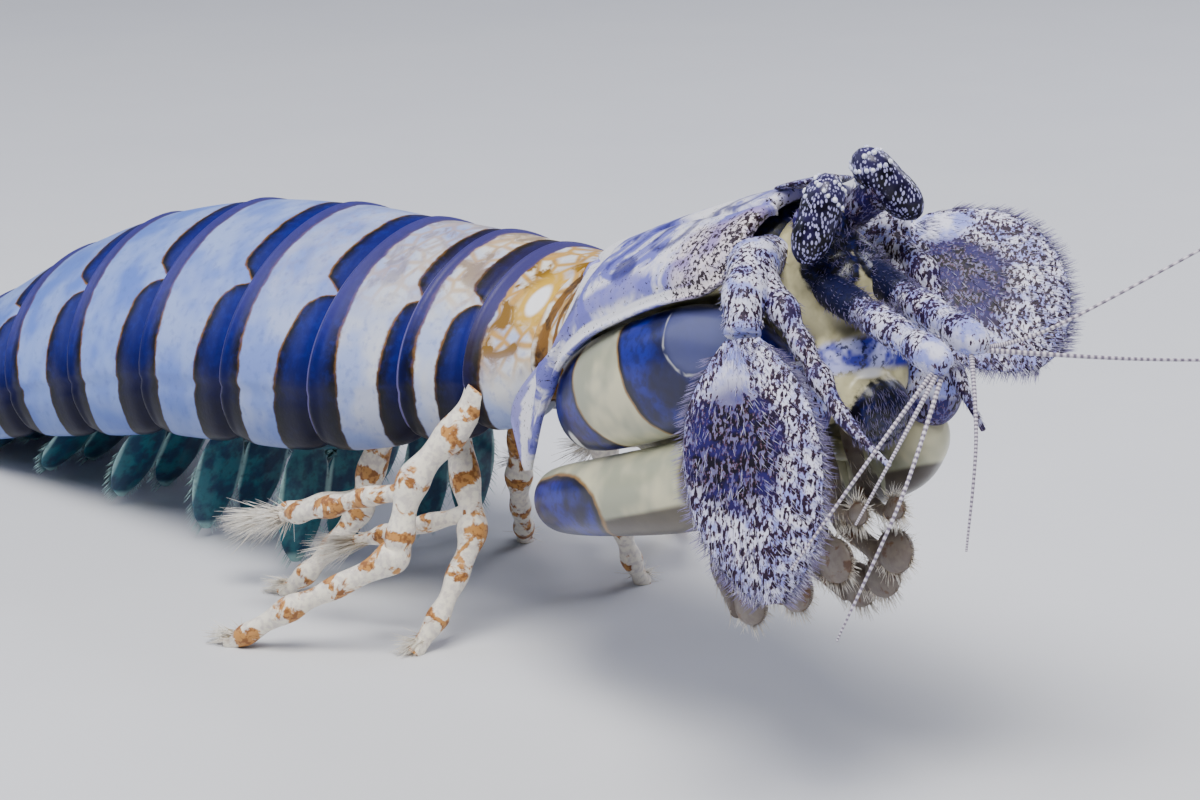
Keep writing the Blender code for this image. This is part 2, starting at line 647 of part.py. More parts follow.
# Maxillipeds between the claws, left side: joints with x, y, z, radius, then the round hand.
MAXILLIPEDS = {
    "1": ((44.5, 3.4, -27.5, 1.2), (46.0, 3.3, -34.0, 1.1), (48.5, 3.0, -41.0, 1.0), (53.5, 2.8, -43.5, 0.8)),
    "3": ((36.0, 3.4, -28.5, 1.9), (37.5, 3.5, -36.0, 1.6), (39.5, 3.9, -43.5, 1.5), (47.0, 4.6, -49.0, 1.4)),
    "4": ((29.0, 3.4, -28.5, 1.9), (29.5, 3.6, -37.0, 1.6), (31.0, 5.2, -46.0, 1.5), (39.0, 6.8, -52.0, 1.4)),
    "5": ((22.0, 3.4, -28.5, 1.9), (21.5, 3.6, -37.0, 1.6), (22.0, 6.4, -46.5, 1.5), (29.5, 8.6, -53.0, 1.4)),
}
HAND_RADII = {"1": (2.2, 0.9, 1.5), "3": (4.2, 1.5, 3.0), "4": (4.2, 1.5, 3.0), "5": (4.0, 1.5, 2.9)}


def maxilliped(number, tag, side, core):
    """Slender leg with a flat round hand, folded under the mouth."""
    joints = round_joints(MAXILLIPEDS[number], side)
    leg = oval_body("maxilliped_{}_{}".format(number, tag), joints, (0, 1, 0), head_frame, LIMB, 6)
    wrist = joints[-1][0]
    radii = HAND_RADII[number]
    hand = ball("hand", wrist + Vector((0.8 * radii[0], 0.0, 0.5)), radii, head_frame, LIMB, 10, 6)
    return cut_clear(fuse(leg, [hand]), [core])


# Walking legs, right side as seen, in the body's frame: joints with x, y, z, radius. Then the
# outer branch with its brush. The left legs repeat them with the steps below.
LEGS = {
    "1": (((39.5, -16.5, 40.0, 2.6), (37.5, -21.0, 34.0, 2.2), (34.2, -25.6, 27.0, 2.3),
           (34.0, -28.0, 19.0, 2.0), (33.2, -29.0, 15.6, 2.3), (27.0, -35.0, 10.6, 1.6),
           (21.5, -39.6, 6.8, 1.8), (15.5, -43.6, 2.0, 1.5), (12.8, -45.0, -0.6, 1.2)),
          ((34.4, -26.2, 25.6, 1.8), (26.5, -28.6, 23.4, 1.4), (19.5, -30.2, 20.6, 1.6),
           (12.0, -31.2, 18.0, 1.5), (8.5, -31.4, 16.8, 0.9))),
    "2": (((28.0, -13.0, 34.0, 2.5), (32.5, -14.5, 25.0, 2.1), (35.0, -15.2, 17.5, 2.1),
           (35.4, -18.5, 11.0, 1.6), (35.0, -22.0, 5.0, 1.6), (34.2, -26.0, -0.6, 1.3)),
          ((34.2, -15.0, 20.0, 1.6), (29.0, -19.0, 18.0, 1.3), (23.0, -23.0, 15.5, 1.4),
           (19.0, -25.5, 14.0, 0.8))),
    "3": (((12.0, -13.0, 31.0, 2.5), (9.0, -15.0, 21.0, 2.1), (7.0, -16.0, 14.5, 2.1),
           (3.5, -19.0, 8.0, 1.6), (0.5, -22.0, 3.4, 1.6), (-2.4, -24.6, -0.6, 1.3)),
          ((7.6, -15.8, 16.5, 1.6), (3.0, -20.0, 15.6, 1.3), (-2.0, -23.5, 13.5, 1.4),
           (-5.0, -25.5, 12.4, 0.8))),
}
LEFT_LEG_SHIFT = {"1": (-3.0, 2.0), "2": (-4.0, -3.0), "3": (3.0, -2.0)}
LEG_SOMITE = {"1": 1, "2": 2, "3": 3}
BRUSH_HAIRS = 6
BRUSH_LENGTH = 8.5


def leg_joints(rows, number, side):
    """The right leg's joints, or the left leg's: mirrored, its foot set a little otherwise."""
    top, floor = rows[0][2], 0.0
    joints = []
    for x, y, z, radius in rows:
        lowered = (top - z) / (top - floor)
        shift_x, shift_y = LEFT_LEG_SHIFT[number] if side > 0 else (0.0, 0.0)
        joints.append((Vector((x + shift_x * lowered, -side * y + shift_y * lowered, z)), radius, radius))
    return joints


def brush(tip, along, frame, chance):
    """Tapered tufts in a cone round the end of a branch."""
    tufts = []
    along = along.normalized()
    sideways = along.orthogonal().normalized()
    for number in range(BRUSH_HAIRS):
        turn = math.tau * number / BRUSH_HAIRS + chance.uniform(-0.2, 0.2)
        spread = sideways * math.cos(turn) + along.cross(sideways) * math.sin(turn)
        end = tip + along * BRUSH_LENGTH * chance.uniform(0.8, 1.0) + spread * 2.6
        tufts.append(spine("tuft", tip - along * 1.2 + spread * 0.25, end, 0.75, frame, LIMB, 4))
    return tufts


def walking_leg(number, tag, side, somites):
    """Jointed leg to the floor, with an outer branch that ends in a brush."""
    main_rows, branch_rows = LEGS[number]
    main = leg_joints(main_rows, number, side)
    branch = leg_joints(branch_rows, number, side)
    leg = oval_body("walking_leg_{}_{}".format(number, tag), main, (0.3, 1, 0), body_frame, LIMB)
    outer = oval_body("outer", branch, (0, 0, 1), body_frame, LIMB, 6)
    chance = random.Random("leg" + number + tag)
    tufts = brush(branch[-1][0], branch[-1][0] - branch[-2][0], body_frame, chance)
    fuse(leg, [outer, *tufts])
    stand_on_floor(leg)
    index = LEG_SOMITE[number]
    return cut_clear(leg, [somites[SOMITE_NAMES[index]], somites[SOMITE_NAMES[index + 1]]])


# Pleopods: how far each pair is swept back from hanging straight down, and its length.
PLEOPOD_SWEEP = (8.0, 18.0, 32.0, 44.0, 47.0)
PLEOPOD_LENGTH = (25.0, 23.5, 22.0, 20.0, 13.5)
PLEOPOD_ACROSS = 11.5
LEAF_PROFILE = ((0.0, 0.5), (0.25, 0.92), (0.55, 1.0), (0.85, 0.66), (1.0, 0.2))
LEAF_HALF_THICKNESS = 0.6
GILL_COUNT = 3
GILL_LENGTH = 8.0


def leaf(name, root, along, across, length, half_width):
    stations = []
    for t, part in LEAF_PROFILE:
        stations.append((root + along * length * t, half_width * part, LEAF_HALF_THICKNESS))
    return oval_body(name, stations, across, body_frame, GILL, 6)


def pleopod(number, tag, side, somites):
    """Swimming leg: a short stem, two leaves side by side and a tuft of gill threads."""
    index = 3 + number
    u = index + 0.5
    matrix = trunk_matrix(u)
    values = trunk_station(u)
    sternum = values[6] - STERNUM_RECESS
    turn = matrix.to_3x3()
    root = matrix @ Vector((0.0, side * PLEOPOD_ACROSS, -sternum + 1.2))
    sweep = math.radians(PLEOPOD_SWEEP[number - 1])
    along = Vector((-math.sin(sweep), side * 0.06, -math.cos(sweep)))
    across = turn @ Vector((0.0, 1.0, 0.0))
    rear = across.cross(along).normalized()
    if rear.x > 0.0:
        rear = -rear
    stem_stations = [(root, 4.6, 2.4), (root + along * 3.0, 4.4, 2.2), (root + along * 6.0, 3.8, 1.4)]
    stem = oval_body("pleopod_{}_{}".format(number, tag), stem_stations, across, body_frame, GILL, 8)
    length = PLEOPOD_LENGTH[number - 1]
    inner = leaf("inner", root + along * 4.2 - across * side * 4.6, along, across, length - 4.2, 4.7)
    outer = leaf("outer", root + along * 4.2 + across * side * 4.6, along, across, length - 4.2, 4.7)
    threads = []
    for count in range(GILL_COUNT):
        start = root + along * (4.6 + 1.0 * count) + across * side * (2.2 - 1.3 * count)
        middle = start + along * 0.5 * GILL_LENGTH + rear * 2.2
        end = start + along * GILL_LENGTH + rear * 2.6
        threads.append(tube("gill", ((*start, 0.6), (*middle, 0.5), (*end, 0.3)), body_frame, GILL, 0))
    fuse(stem, [inner, outer, *threads])
    return cut_clear(stem, [somites[SOMITE_NAMES[index]], somites[SOMITE_NAMES[index + 1]]])


TELSON_ROOT = (-128.5, -9.0, 17.6)
TELSON_PITCH = 21.0
TAIL_YAW = 12.0
TELSON_STATIONS = (             # distance back, half width, middle height, half thickness
    (0.6, 14.5, -5.0, 3.8), (3.0, 17.6, -5.0, 4.0), (8.0, 19.6, -5.2, 3.7), (14.0, 19.4, -5.9, 3.1),
    (20.0, 16.8, -7.0, 2.3), (24.0, 12.8, -7.8, 1.6), (25.8, 8.0, -8.2, 1.0),
)
# Spines along the telson's rear edge: distance back and across.
TELSON_SPINES = ((14.0, 18.6), (19.0, 16.4), (23.5, 11.8), (25.4, 6.0))


def tail_matrix(pitch, height):
    turn = Matrix.Rotation(math.radians(TAIL_YAW), 4, "Z") @ Matrix.Rotation(-math.radians(pitch), 4, "Y")
    return Matrix.Translation((TELSON_ROOT[0], TELSON_ROOT[1], height)) @ turn


def telson():
    """Broad tail plate with paired spines along its rear edge, resting on that edge."""
    matrix = tail_matrix(TELSON_PITCH, TELSON_ROOT[2])
    stations = []
    for back, half_width, height, half_thickness in TELSON_STATIONS:
        stations.append((matrix @ Vector((-back, 0.0, height)), half_width, half_thickness))
    plate = oval_body("telson", stations, matrix.to_3x3() @ Vector((0, 1, 0)), body_frame, SHELL, 16)
    pieces = [ball("crest", matrix @ Vector((-11.0, 0.0, -2.2)), (8.0, 3.0, 1.8), body_frame, SHELL, 8, 6)]
    for back, across in TELSON_SPINES:
        height = -5.4 - 0.12 * back
        for _, side in SIDES:
            root = matrix @ Vector((-back + 2.4, side * (across - 2.6), height))
            tip = matrix @ Vector((-back - 3.2, side * (across + 1.0), height - 0.4))
            pieces.append(spine("spine", root, tip, 1.1, body_frame, SHELL, 5))
    fuse(plate, pieces)
    return stand_on_floor(plate)


# Uropod pieces, left side, level with the floor: x ahead of the telson's root, y, z, half width,
# half thickness.
UROPOD_STEM = ((3.0, 12.0, 7.0, 3.0, 2.4), (-3.0, 19.0, 5.2, 3.2, 2.3), (-8.0, 23.5, 3.4, 2.8, 1.8))
UROPOD_OUTER = ((-5.0, 22.5, 3.2, 2.4, 1.4), (-12.0, 26.5, 2.4, 4.4, 1.3), (-20.0, 29.6, 1.6, 5.2, 1.1),
                (-25.0, 31.4, 1.2, 4.7, 0.9), (-31.0, 33.0, 0.8, 4.6, 0.8), (-36.0, 34.0, 0.5, 1.8, 0.5))
UROPOD_INNER = ((-5.0, 21.6, 2.6, 1.6, 1.0), (-12.0, 22.2, 1.9, 2.6, 0.8), (-20.0, 22.4, 1.3, 2.9, 0.7),
                (-27.0, 22.6, 0.9, 2.2, 0.6), (-30.0, 22.8, 0.7, 0.9, 0.4))
UROPOD_EDGE_SPINES = 5


def uropod(tag, side, somites, telson_obj):
    """Side of the tail fan: a stem with its fork spine, an outer and an inner blade."""
    matrix = tail_matrix(0.0, 0.0)
    across = matrix.to_3x3() @ Vector((0, 1, 0))

    def blade(name, rows, sides):
        stations = [(matrix @ Vector((x, side * y, z)), a, b) for x, y, z, a, b in rows]
        return oval_body(name, stations, across, body_frame, SHELL, sides)

    stem = blade("uropod_" + tag, UROPOD_STEM, 8)
    pieces = [blade("outer", UROPOD_OUTER, 8), blade("inner", UROPOD_INNER, 8)]
    fork_root = matrix @ Vector((-4.0, side * 20.4, 3.6))
    fork_tip = matrix @ Vector((-15.5, side * 19.4, 0.8))
    pieces.append(spine("fork", fork_root, fork_tip, 1.2, body_frame, SHELL, 6))
    for count in range(UROPOD_EDGE_SPINES):
        x, y, z = -12.0 - 3.0 * count, 30.0 + 1.25 * count, 2.2 - 0.3 * count
        root = matrix @ Vector((x, side * (y - 1.8), z))
        tip = matrix @ Vector((x - 3.0, side * (y + 2.6), z - 0.4))
        pieces.append(spine("edge_spine", root, tip, 0.7, body_frame, SHELL, 5))
    fuse(stem, pieces)
    stand_on_floor(stem)
    return cut_clear(stem, [somites["abdomen_6"], telson_obj])


def build():
    somites = {name: somite(index) for index, name in enumerate(SOMITE_NAMES)}
    shield = carapace()
    rostral_plate()
    for name in ("thorax_5", "thorax_6"):
        cut_clear(somites[name], [shield])
    core = thorax_core([shield, somites["thorax_5"]])
    head_obj = head()
    telson_obj = telson()
    for tag, side in SIDES:
        eye(tag, head_obj)
        antennule(tag, head_obj)
        antennal_scale(tag, antenna(tag, [head_obj, shield]))
        raptorial_claw(tag, side, core)
        for number in MAXILLIPEDS:
            maxilliped(number, tag, side, core)
        for number in LEGS:
            walking_leg(number, tag, side, somites)
        for number in range(1, 6):
            pleopod(number, tag, side, somites)
        uropod(tag, side, somites, telson_obj)


build()
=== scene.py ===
"""Mantis shrimp, life size: shell plates, claws, eyes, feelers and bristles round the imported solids.

Sizes are millimetres in the pose's own frame: X from tail to head, Y to the animal's left, Z up
from the floor. The head and the claws are built in a frame of their own, turned and raised.
"""

import math
from collections import namedtuple
from functools import partial

import bmesh
import bpy
import numpy as np
from mathutils import Matrix, Vector


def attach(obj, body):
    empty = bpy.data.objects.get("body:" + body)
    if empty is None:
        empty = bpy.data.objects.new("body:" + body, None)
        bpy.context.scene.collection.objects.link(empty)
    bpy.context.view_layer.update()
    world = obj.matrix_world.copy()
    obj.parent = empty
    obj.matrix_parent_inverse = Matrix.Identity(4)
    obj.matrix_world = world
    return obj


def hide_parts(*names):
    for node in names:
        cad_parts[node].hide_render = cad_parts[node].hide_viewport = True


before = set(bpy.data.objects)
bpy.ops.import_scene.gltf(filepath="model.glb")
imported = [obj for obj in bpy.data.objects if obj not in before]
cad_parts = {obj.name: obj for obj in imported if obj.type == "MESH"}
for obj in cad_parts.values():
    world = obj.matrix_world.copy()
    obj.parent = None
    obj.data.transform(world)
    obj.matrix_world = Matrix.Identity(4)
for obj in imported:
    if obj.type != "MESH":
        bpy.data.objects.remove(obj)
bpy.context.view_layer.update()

MM = 0.001
SIDES = (("r", -1.0), ("l", 1.0))
chance = np.random.default_rng(20)

# Frames: the pose on the row's origin, and the head's frame in it.
POSE_SHIFT = (5.42, 1.76, 0.0)
HEAD_PLACE = (56.0, 0.0, 61.5)
HEAD_YAW = -13.0
HEAD_PITCH = 20.5


def turned(place, yaw=0.0, pitch=0.0):
    """A frame at a place, turned about Z, with its +X raised by the pitch."""
    turn = Matrix.Rotation(math.radians(yaw), 4, "Z") @ Matrix.Rotation(-math.radians(pitch), 4, "Y")
    return Matrix.Translation(place) @ turn


def moved(points, place):
    """Points of a frame, read in the frame that it is placed in."""
    matrix = np.array(place)
    return np.asarray(points, float) @ matrix[:3, :3].T + matrix[:3, 3]


BODY = Matrix.Translation(POSE_SHIFT)
HEAD = BODY @ turned(HEAD_PLACE, HEAD_YAW, HEAD_PITCH)


# Curves and skins

def unit(vectors):
    """The same directions with a length of one."""
    return vectors / np.maximum(np.linalg.norm(vectors, axis=-1, keepdims=True), 1e-9)


def smooth_rows(rows, at):
    """Rows of numbers on a smooth curve through the given ones, at places counted in rows."""
    rows = np.array(rows, float)
    at = np.clip(np.asarray(at, float), 0.0, len(rows) - 1.0)
    i = np.minimum(at.astype(int), len(rows) - 2)
    t = (at - i)[:, None]
    p, q, r, s = (rows[np.clip(i + k, 0, len(rows) - 1)] for k in (-1, 0, 1, 2))
    return 0.5 * (2 * q + (r - p) * t + (2 * p - 5 * q + 4 * r - s) * t * t
                  + (3 * q - 3 * r + s - p) * t ** 3)


def smooth_path(rows, count):
    """So many rows, spread evenly over the curve through the given ones."""
    return smooth_rows(rows, np.linspace(0.0, len(rows) - 1.0, count))


def step(low, high, value):
    """A soft rise from 0 to 1 between two values."""
    t = np.clip((value - low) / (high - low), 0.0, 1.0)
    return t * t * (3.0 - 2.0 * t)


def hump(value, centre, width):
    """A soft peak of 1 at a value, gone at about twice its width."""
    return np.exp(-((value - centre) / width) ** 2)


def skin(points, faces, place, uv=None, **fields):
    """Points in a frame become a bare skin in metres, with named fields on its points."""
    world = moved(points, place).reshape(-1, 3) * MM
    fields = {name: np.broadcast_to(value, len(world)) if np.ndim(value) == 0 else np.ravel(value)
              for name, value in fields.items()}
    return {"points": world, "faces": faces, "fields": fields, "uv": uv}


def grid_faces(rows, columns, wrap=True):
    """Four-sided faces of a grid of points, closed into rings if it wraps."""
    index = np.arange(rows * columns).reshape(rows, columns)
    right = np.roll(index, -1, axis=1)
    if not wrap:
        index, right = index[:, :-1], index[:, :-1] + 1
    return np.stack([index[:-1], right[:-1], right[1:], index[1:]], axis=-1).reshape(-1, 4)


def body(grid, place, **fields):
    """A closed skin over rings of points, with a cap on each end."""
    rows, columns = grid.shape[:2]
    faces = grid_faces(rows, columns).tolist()
    faces += [list(range(columns))[::-1], list(range((rows - 1) * columns, rows * columns))]
    return skin(grid, faces, place, **{name: np.broadcast_to(value, (rows, columns))
                                       for name, value in fields.items()})


def shell(grid, thickness, place, **fields):
    """A closed skin of some thickness under an open grid of points."""
    rows, columns = grid.shape[:2]
    normal = unit(np.cross(np.gradient(grid, axis=0), np.gradient(grid, axis=1)))
    if normal[rows // 2, columns // 2, 2] < 0.0:
        normal = -normal
    under = grid - normal * thickness
    points = np.concatenate([grid.reshape(-1, 3), under.reshape(-1, 3)])
    top = grid_faces(rows, columns, wrap=False)
    base = rows * columns
    index = np.arange(base).reshape(rows, columns)
    rim = np.concatenate([index[0, :-1], index[:-1, -1], index[-1, :0:-1], index[:0:-1, 0]])
    after = np.roll(rim, -1)
    walls = np.stack([rim, rim + base, after + base, after], axis=-1)
    faces = top.tolist() + (top[:, ::-1] + base).tolist() + walls.tolist()
    doubled = {name: np.tile(np.ravel(np.broadcast_to(value, (rows, columns))), 2)
               for name, value in fields.items()}
    return skin(points, faces, place, **doubled)


def oval_grid(rows, across, sides, ridge=0.0):
    """Oval rings square to a path of x, y, z, half width and half depth."""
    centres = rows[:, :3]
    along = unit(np.gradient(centres, axis=0))
    up = unit(np.cross(along, np.asarray(across, float)))
    wide = np.cross(up, along)
    turn = math.tau * (np.arange(sides) + 0.5) / sides
    side = rows[:, 3, None] * np.cos(turn)
    lift = rows[:, 4, None] * np.sin(turn)
    lift = lift + ridge * hump(side, 0.0, 0.9) * np.sign(np.sin(turn))
    return centres[:, None] + side[..., None] * wide[:, None] + lift[..., None] * up[:, None]


def ball_grid(centre, radii, rows=20, columns=28):
    """Rings of points on a rounded body of three radii."""
    turn = math.tau * (np.arange(columns) + 0.5) / columns
    rise = np.linspace(-0.495, 0.495, rows) * math.pi
    x = np.cos(rise)[:, None] * np.cos(turn)
    y = np.cos(rise)[:, None] * np.sin(turn)
    z = np.broadcast_to(np.sin(rise)[:, None], x.shape)
    return np.array(centre) + np.stack([x, y, z], axis=-1) * np.array(radii)


FLOOR_GAP = 0.0001              # metres between the lowest bristles and the floor
BAKE_PATCH = 0.003              # size of a bristle's own patch on the bake map
BAKE_COLUMNS = 97.0             # patches in a row, where the bristles follow no rows of a skin


def bristles(roots, directions, lengths, place, radius=0.07, droop=(0.0, 0.0, 0.0), uv=None):
    """Thin tapered bristles, none below the floor. Each has a patch 0.003 across on the bake map."""
    roots, directions = np.asarray(roots, float), unit(np.asarray(directions, float))
    count = len(roots)
    lengths = np.broadcast_to(lengths, count)
    side = unit(np.cross(directions, (0.31, 0.52, 0.79)))
    other = np.cross(directions, side)
    points = np.zeros((count, 3, 3, 3))
    for level, (part, wide) in enumerate(((0.0, 1.0), (0.5, 0.72), (1.0, 0.22))):
        centre = roots + directions * (lengths * part)[:, None]
        centre = centre + np.array(droop) * (lengths * part * part)[:, None]
        for corner in range(3):
            turn = math.tau * corner / 3.0
            outward = math.cos(turn) * side + math.sin(turn) * other
            points[:, level, corner] = centre + radius * wide * outward
    pattern = [(3 * a + k, 3 * a + (k + 1) % 3, 3 * a + 3 + (k + 1) % 3, 3 * a + 3 + k)
               for a in range(2) for k in range(3)]
    first = 9 * np.arange(count)[:, None, None]
    faces = (np.array(pattern) + first).reshape(-1, 4).tolist()
    faces += (np.array([(2, 1, 0), (6, 7, 8)]) + first).reshape(-1, 3).tolist()
    if uv is None:
        number = np.arange(count)
        uv = np.stack([number % BAKE_COLUMNS / BAKE_COLUMNS, number / max(count, 1)], axis=-1)
    patch = BAKE_PATCH / 2 * np.array([(level, corner) for level in range(3) for corner in range(3)])
    spread = (np.clip(uv, 0.0, 0.996)[:, None] + patch).reshape(-1, 2)
    tip = np.tile(np.repeat((0.0, 0.5, 1.0), 3), count)
    layer = skin(points, faces, place, uv=spread, tip=tip)
    layer["points"][:, 2] = np.maximum(layer["points"][:, 2], FLOOR_GAP)
    return layer


def nap(grid, count, along, place, length=(0.5, 1.1), ends=(0.05, 0.95)):
    """Short bristles lying along a body of oval rings, spread evenly over it."""
    rows = chance.integers(int(ends[0] * len(grid)), max(int(ends[1] * len(grid)), 1), count)
    columns = chance.integers(0, grid.shape[1], count)
    roots = grid[rows, columns]
    outward = unit(roots - grid.mean(axis=1)[rows])
    ways = 0.45 * outward + 0.9 * unit(np.array(along, float)) + chance.normal(0.0, 0.18, (count, 3))
    uv = np.column_stack([rows / len(grid), columns / grid.shape[1]])
    return bristles(roots, ways, chance.uniform(*length, count), place, 0.042, uv=uv)


def plain_mesh(name, skins, even):
    """One mesh of several skins. Its faces are turned outwards if they have to be even."""
    mesh = bpy.data.meshes.new(name)
    offsets = np.cumsum([0] + [len(s["points"]) for s in skins])
    faces = [[i + int(offset) for i in face] for s, offset in zip(skins, offsets) for face in s["faces"]]
    mesh.from_pydata(np.concatenate([s["points"] for s in skins]).tolist(), [], faces)
    if even:
        work = bmesh.new()
        work.from_mesh(mesh)
        bmesh.ops.recalc_face_normals(work, faces=work.faces)
        work.to_mesh(mesh)
        work.free()
    return mesh


def make(name, layers, nodes=()):
    """One piece from layers of skin and material. It rides on the body and stands for its nodes.
    Bristles stand for no node."""
    mesh = plain_mesh(name, [s for s, _ in layers], even=bool(nodes))
    materials = list(dict.fromkeys(m for _, m in layers))
    for material in materials:
        mesh.materials.append(material)
    mesh.polygons.foreach_set("material_index", np.concatenate(
        [np.full(len(s["faces"]), materials.index(m)) for s, m in layers]))
    for field in sorted({f for s, _ in layers for f in s["fields"]}):
        values = np.concatenate([s["fields"].get(field, np.zeros(len(s["points"]))) for s, _ in layers])
        mesh.attributes.new(field, "FLOAT", "POINT").data.foreach_set("value", values.astype(np.float32))
    if all(s["uv"] is not None for s, _ in layers):
        uv = np.concatenate([s["uv"] for s, _ in layers])
        corners = np.zeros(len(mesh.loops), int)
        mesh.loops.foreach_get("vertex_index", corners)
        mesh.uv_layers.new(name="OFBake").data.foreach_set("uv", uv[corners].astype(np.float32).ravel())
    mesh.shade_smooth()
    obj = bpy.data.objects.new(name, mesh)
    bpy.context.scene.collection.objects.link(obj)
    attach(obj, "root")
    if nodes:
        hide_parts(*nodes)
    return obj


# Materials

def colour(code, alpha=1.0):
    """An sRGB hex colour as linear values."""
    parts = [int(code[i:i + 2], 16) / 255.0 for i in (1, 3, 5)]
    return (*[p / 12.92 if p <= 0.04045 else ((p + 0.055) / 1.055) ** 2.4 for p in parts], alpha)


def per_mm(size):
    """Noise scale for a pattern that repeats about every so many millimetres."""
    return 1.0 / (size * MM)


# Kinds of node: type, the output used, the inputs in their order with their usual values, settings.
Kind = namedtuple("Kind", "type output inputs settings")
PLACE = Kind("ShaderNodeTexCoord", "Object", {}, {})
FIELD = Kind("ShaderNodeAttribute", "Fac", {}, {})
NOISE = Kind("ShaderNodeTexNoise", "Fac", {"Vector": None, "Scale": None, "Detail": 3.0,
                                           "Roughness": 0.55, "Distortion": 0.0}, {})
CELLS = Kind("ShaderNodeTexVoronoi", "Distance", {"Vector": None, "Scale": None, "Randomness": 1.0}, {})
STRETCH = Kind("ShaderNodeMapping", "Vector", {"Vector": None, "Rotation": None, "Scale": None}, {})
RAMP = Kind("ShaderNodeValToRGB", "Color", {"Fac": None}, {})
MIX = Kind("ShaderNodeMixRGB", "Color", {"Fac": None, "Color1": None, "Color2": None}, {})
FADE = Kind("ShaderNodeMapRange", "Result", {"Value": None, "From Min": None, "From Max": None,
                                             "To Min": 0.0, "To Max": 1.0},
            {"interpolation_type": "SMOOTHSTEP"})
TIMES, TIMES_PLUS, MINUS, LARGER = (
    Kind("ShaderNodeMath", "Value", {0: None, 1: None, 2: 0.0}, {"operation": operation})
    for operation in ("MULTIPLY", "MULTIPLY_ADD", "SUBTRACT", "MAXIMUM"))
BUMP = Kind("ShaderNodeBump", "Normal", {"Height": None, "Strength": None, "Distance": None}, {})


def add(tree, kind, *inputs, stops=(), **settings):
    """Adds one node and gives its output. An input is a value, a hex colour, the name of a field of
    the mesh, another node's output, or a tuple of a kind and its inputs, which is added first."""
    node = tree.nodes.new(kind.type)
    for key, value in {**kind.settings, **settings}.items():
        setattr(node, key, value)
    for key, value in {**kind.inputs, **dict(zip(kind.inputs, inputs))}.items():
        if isinstance(value, str):
            value = colour(value) if value[0] == "#" else add(tree, FIELD, attribute_name=value)
        elif isinstance(value, tuple) and isinstance(value[0], Kind):
            value = add(tree, *value)
        if isinstance(value, bpy.types.NodeSocket):
            tree.links.new(value, node.inputs[key])
        else:
            node.inputs[key].default_value = value
    for number, (place, code) in enumerate(stops):
        elements = node.color_ramp.elements
        stop = elements[number] if number < 2 else elements.new(place)
        stop.position = place
        stop.color = colour(code)
    return node.outputs[kind.output]


def coat(name, draw, roughness, ior=1.55, specular=0.5, wet=0.0, glow=0.0):
    """A Principled material. Wet is a clear coat of water, glow lets light in. A function draws its
    colour and relief, and gives the relief's strength and its depth in millimetres."""
    material = bpy.data.materials.new(name)
    material.use_nodes = True
    tree = material.node_tree
    shader = tree.nodes["Principled BSDF"]
    values = {"Roughness": roughness, "IOR": ior, "Specular IOR Level": specular, "Coat Weight": wet,
              "Coat Roughness": 0.12, "Subsurface Weight": glow,
              "Subsurface Radius": (0.0012, 0.0009, 0.0008), "Subsurface Scale": 1.0}
    for key, value in values.items():
        shader.inputs[key].default_value = value
    shown, relief, strength, depth = draw(tree)
    tree.links.new(shown, shader.inputs["Base Color"])
    if relief is not None:
        tree.links.new(add(tree, BUMP, relief, strength, depth * MM), shader.inputs["Normal"])
    return material


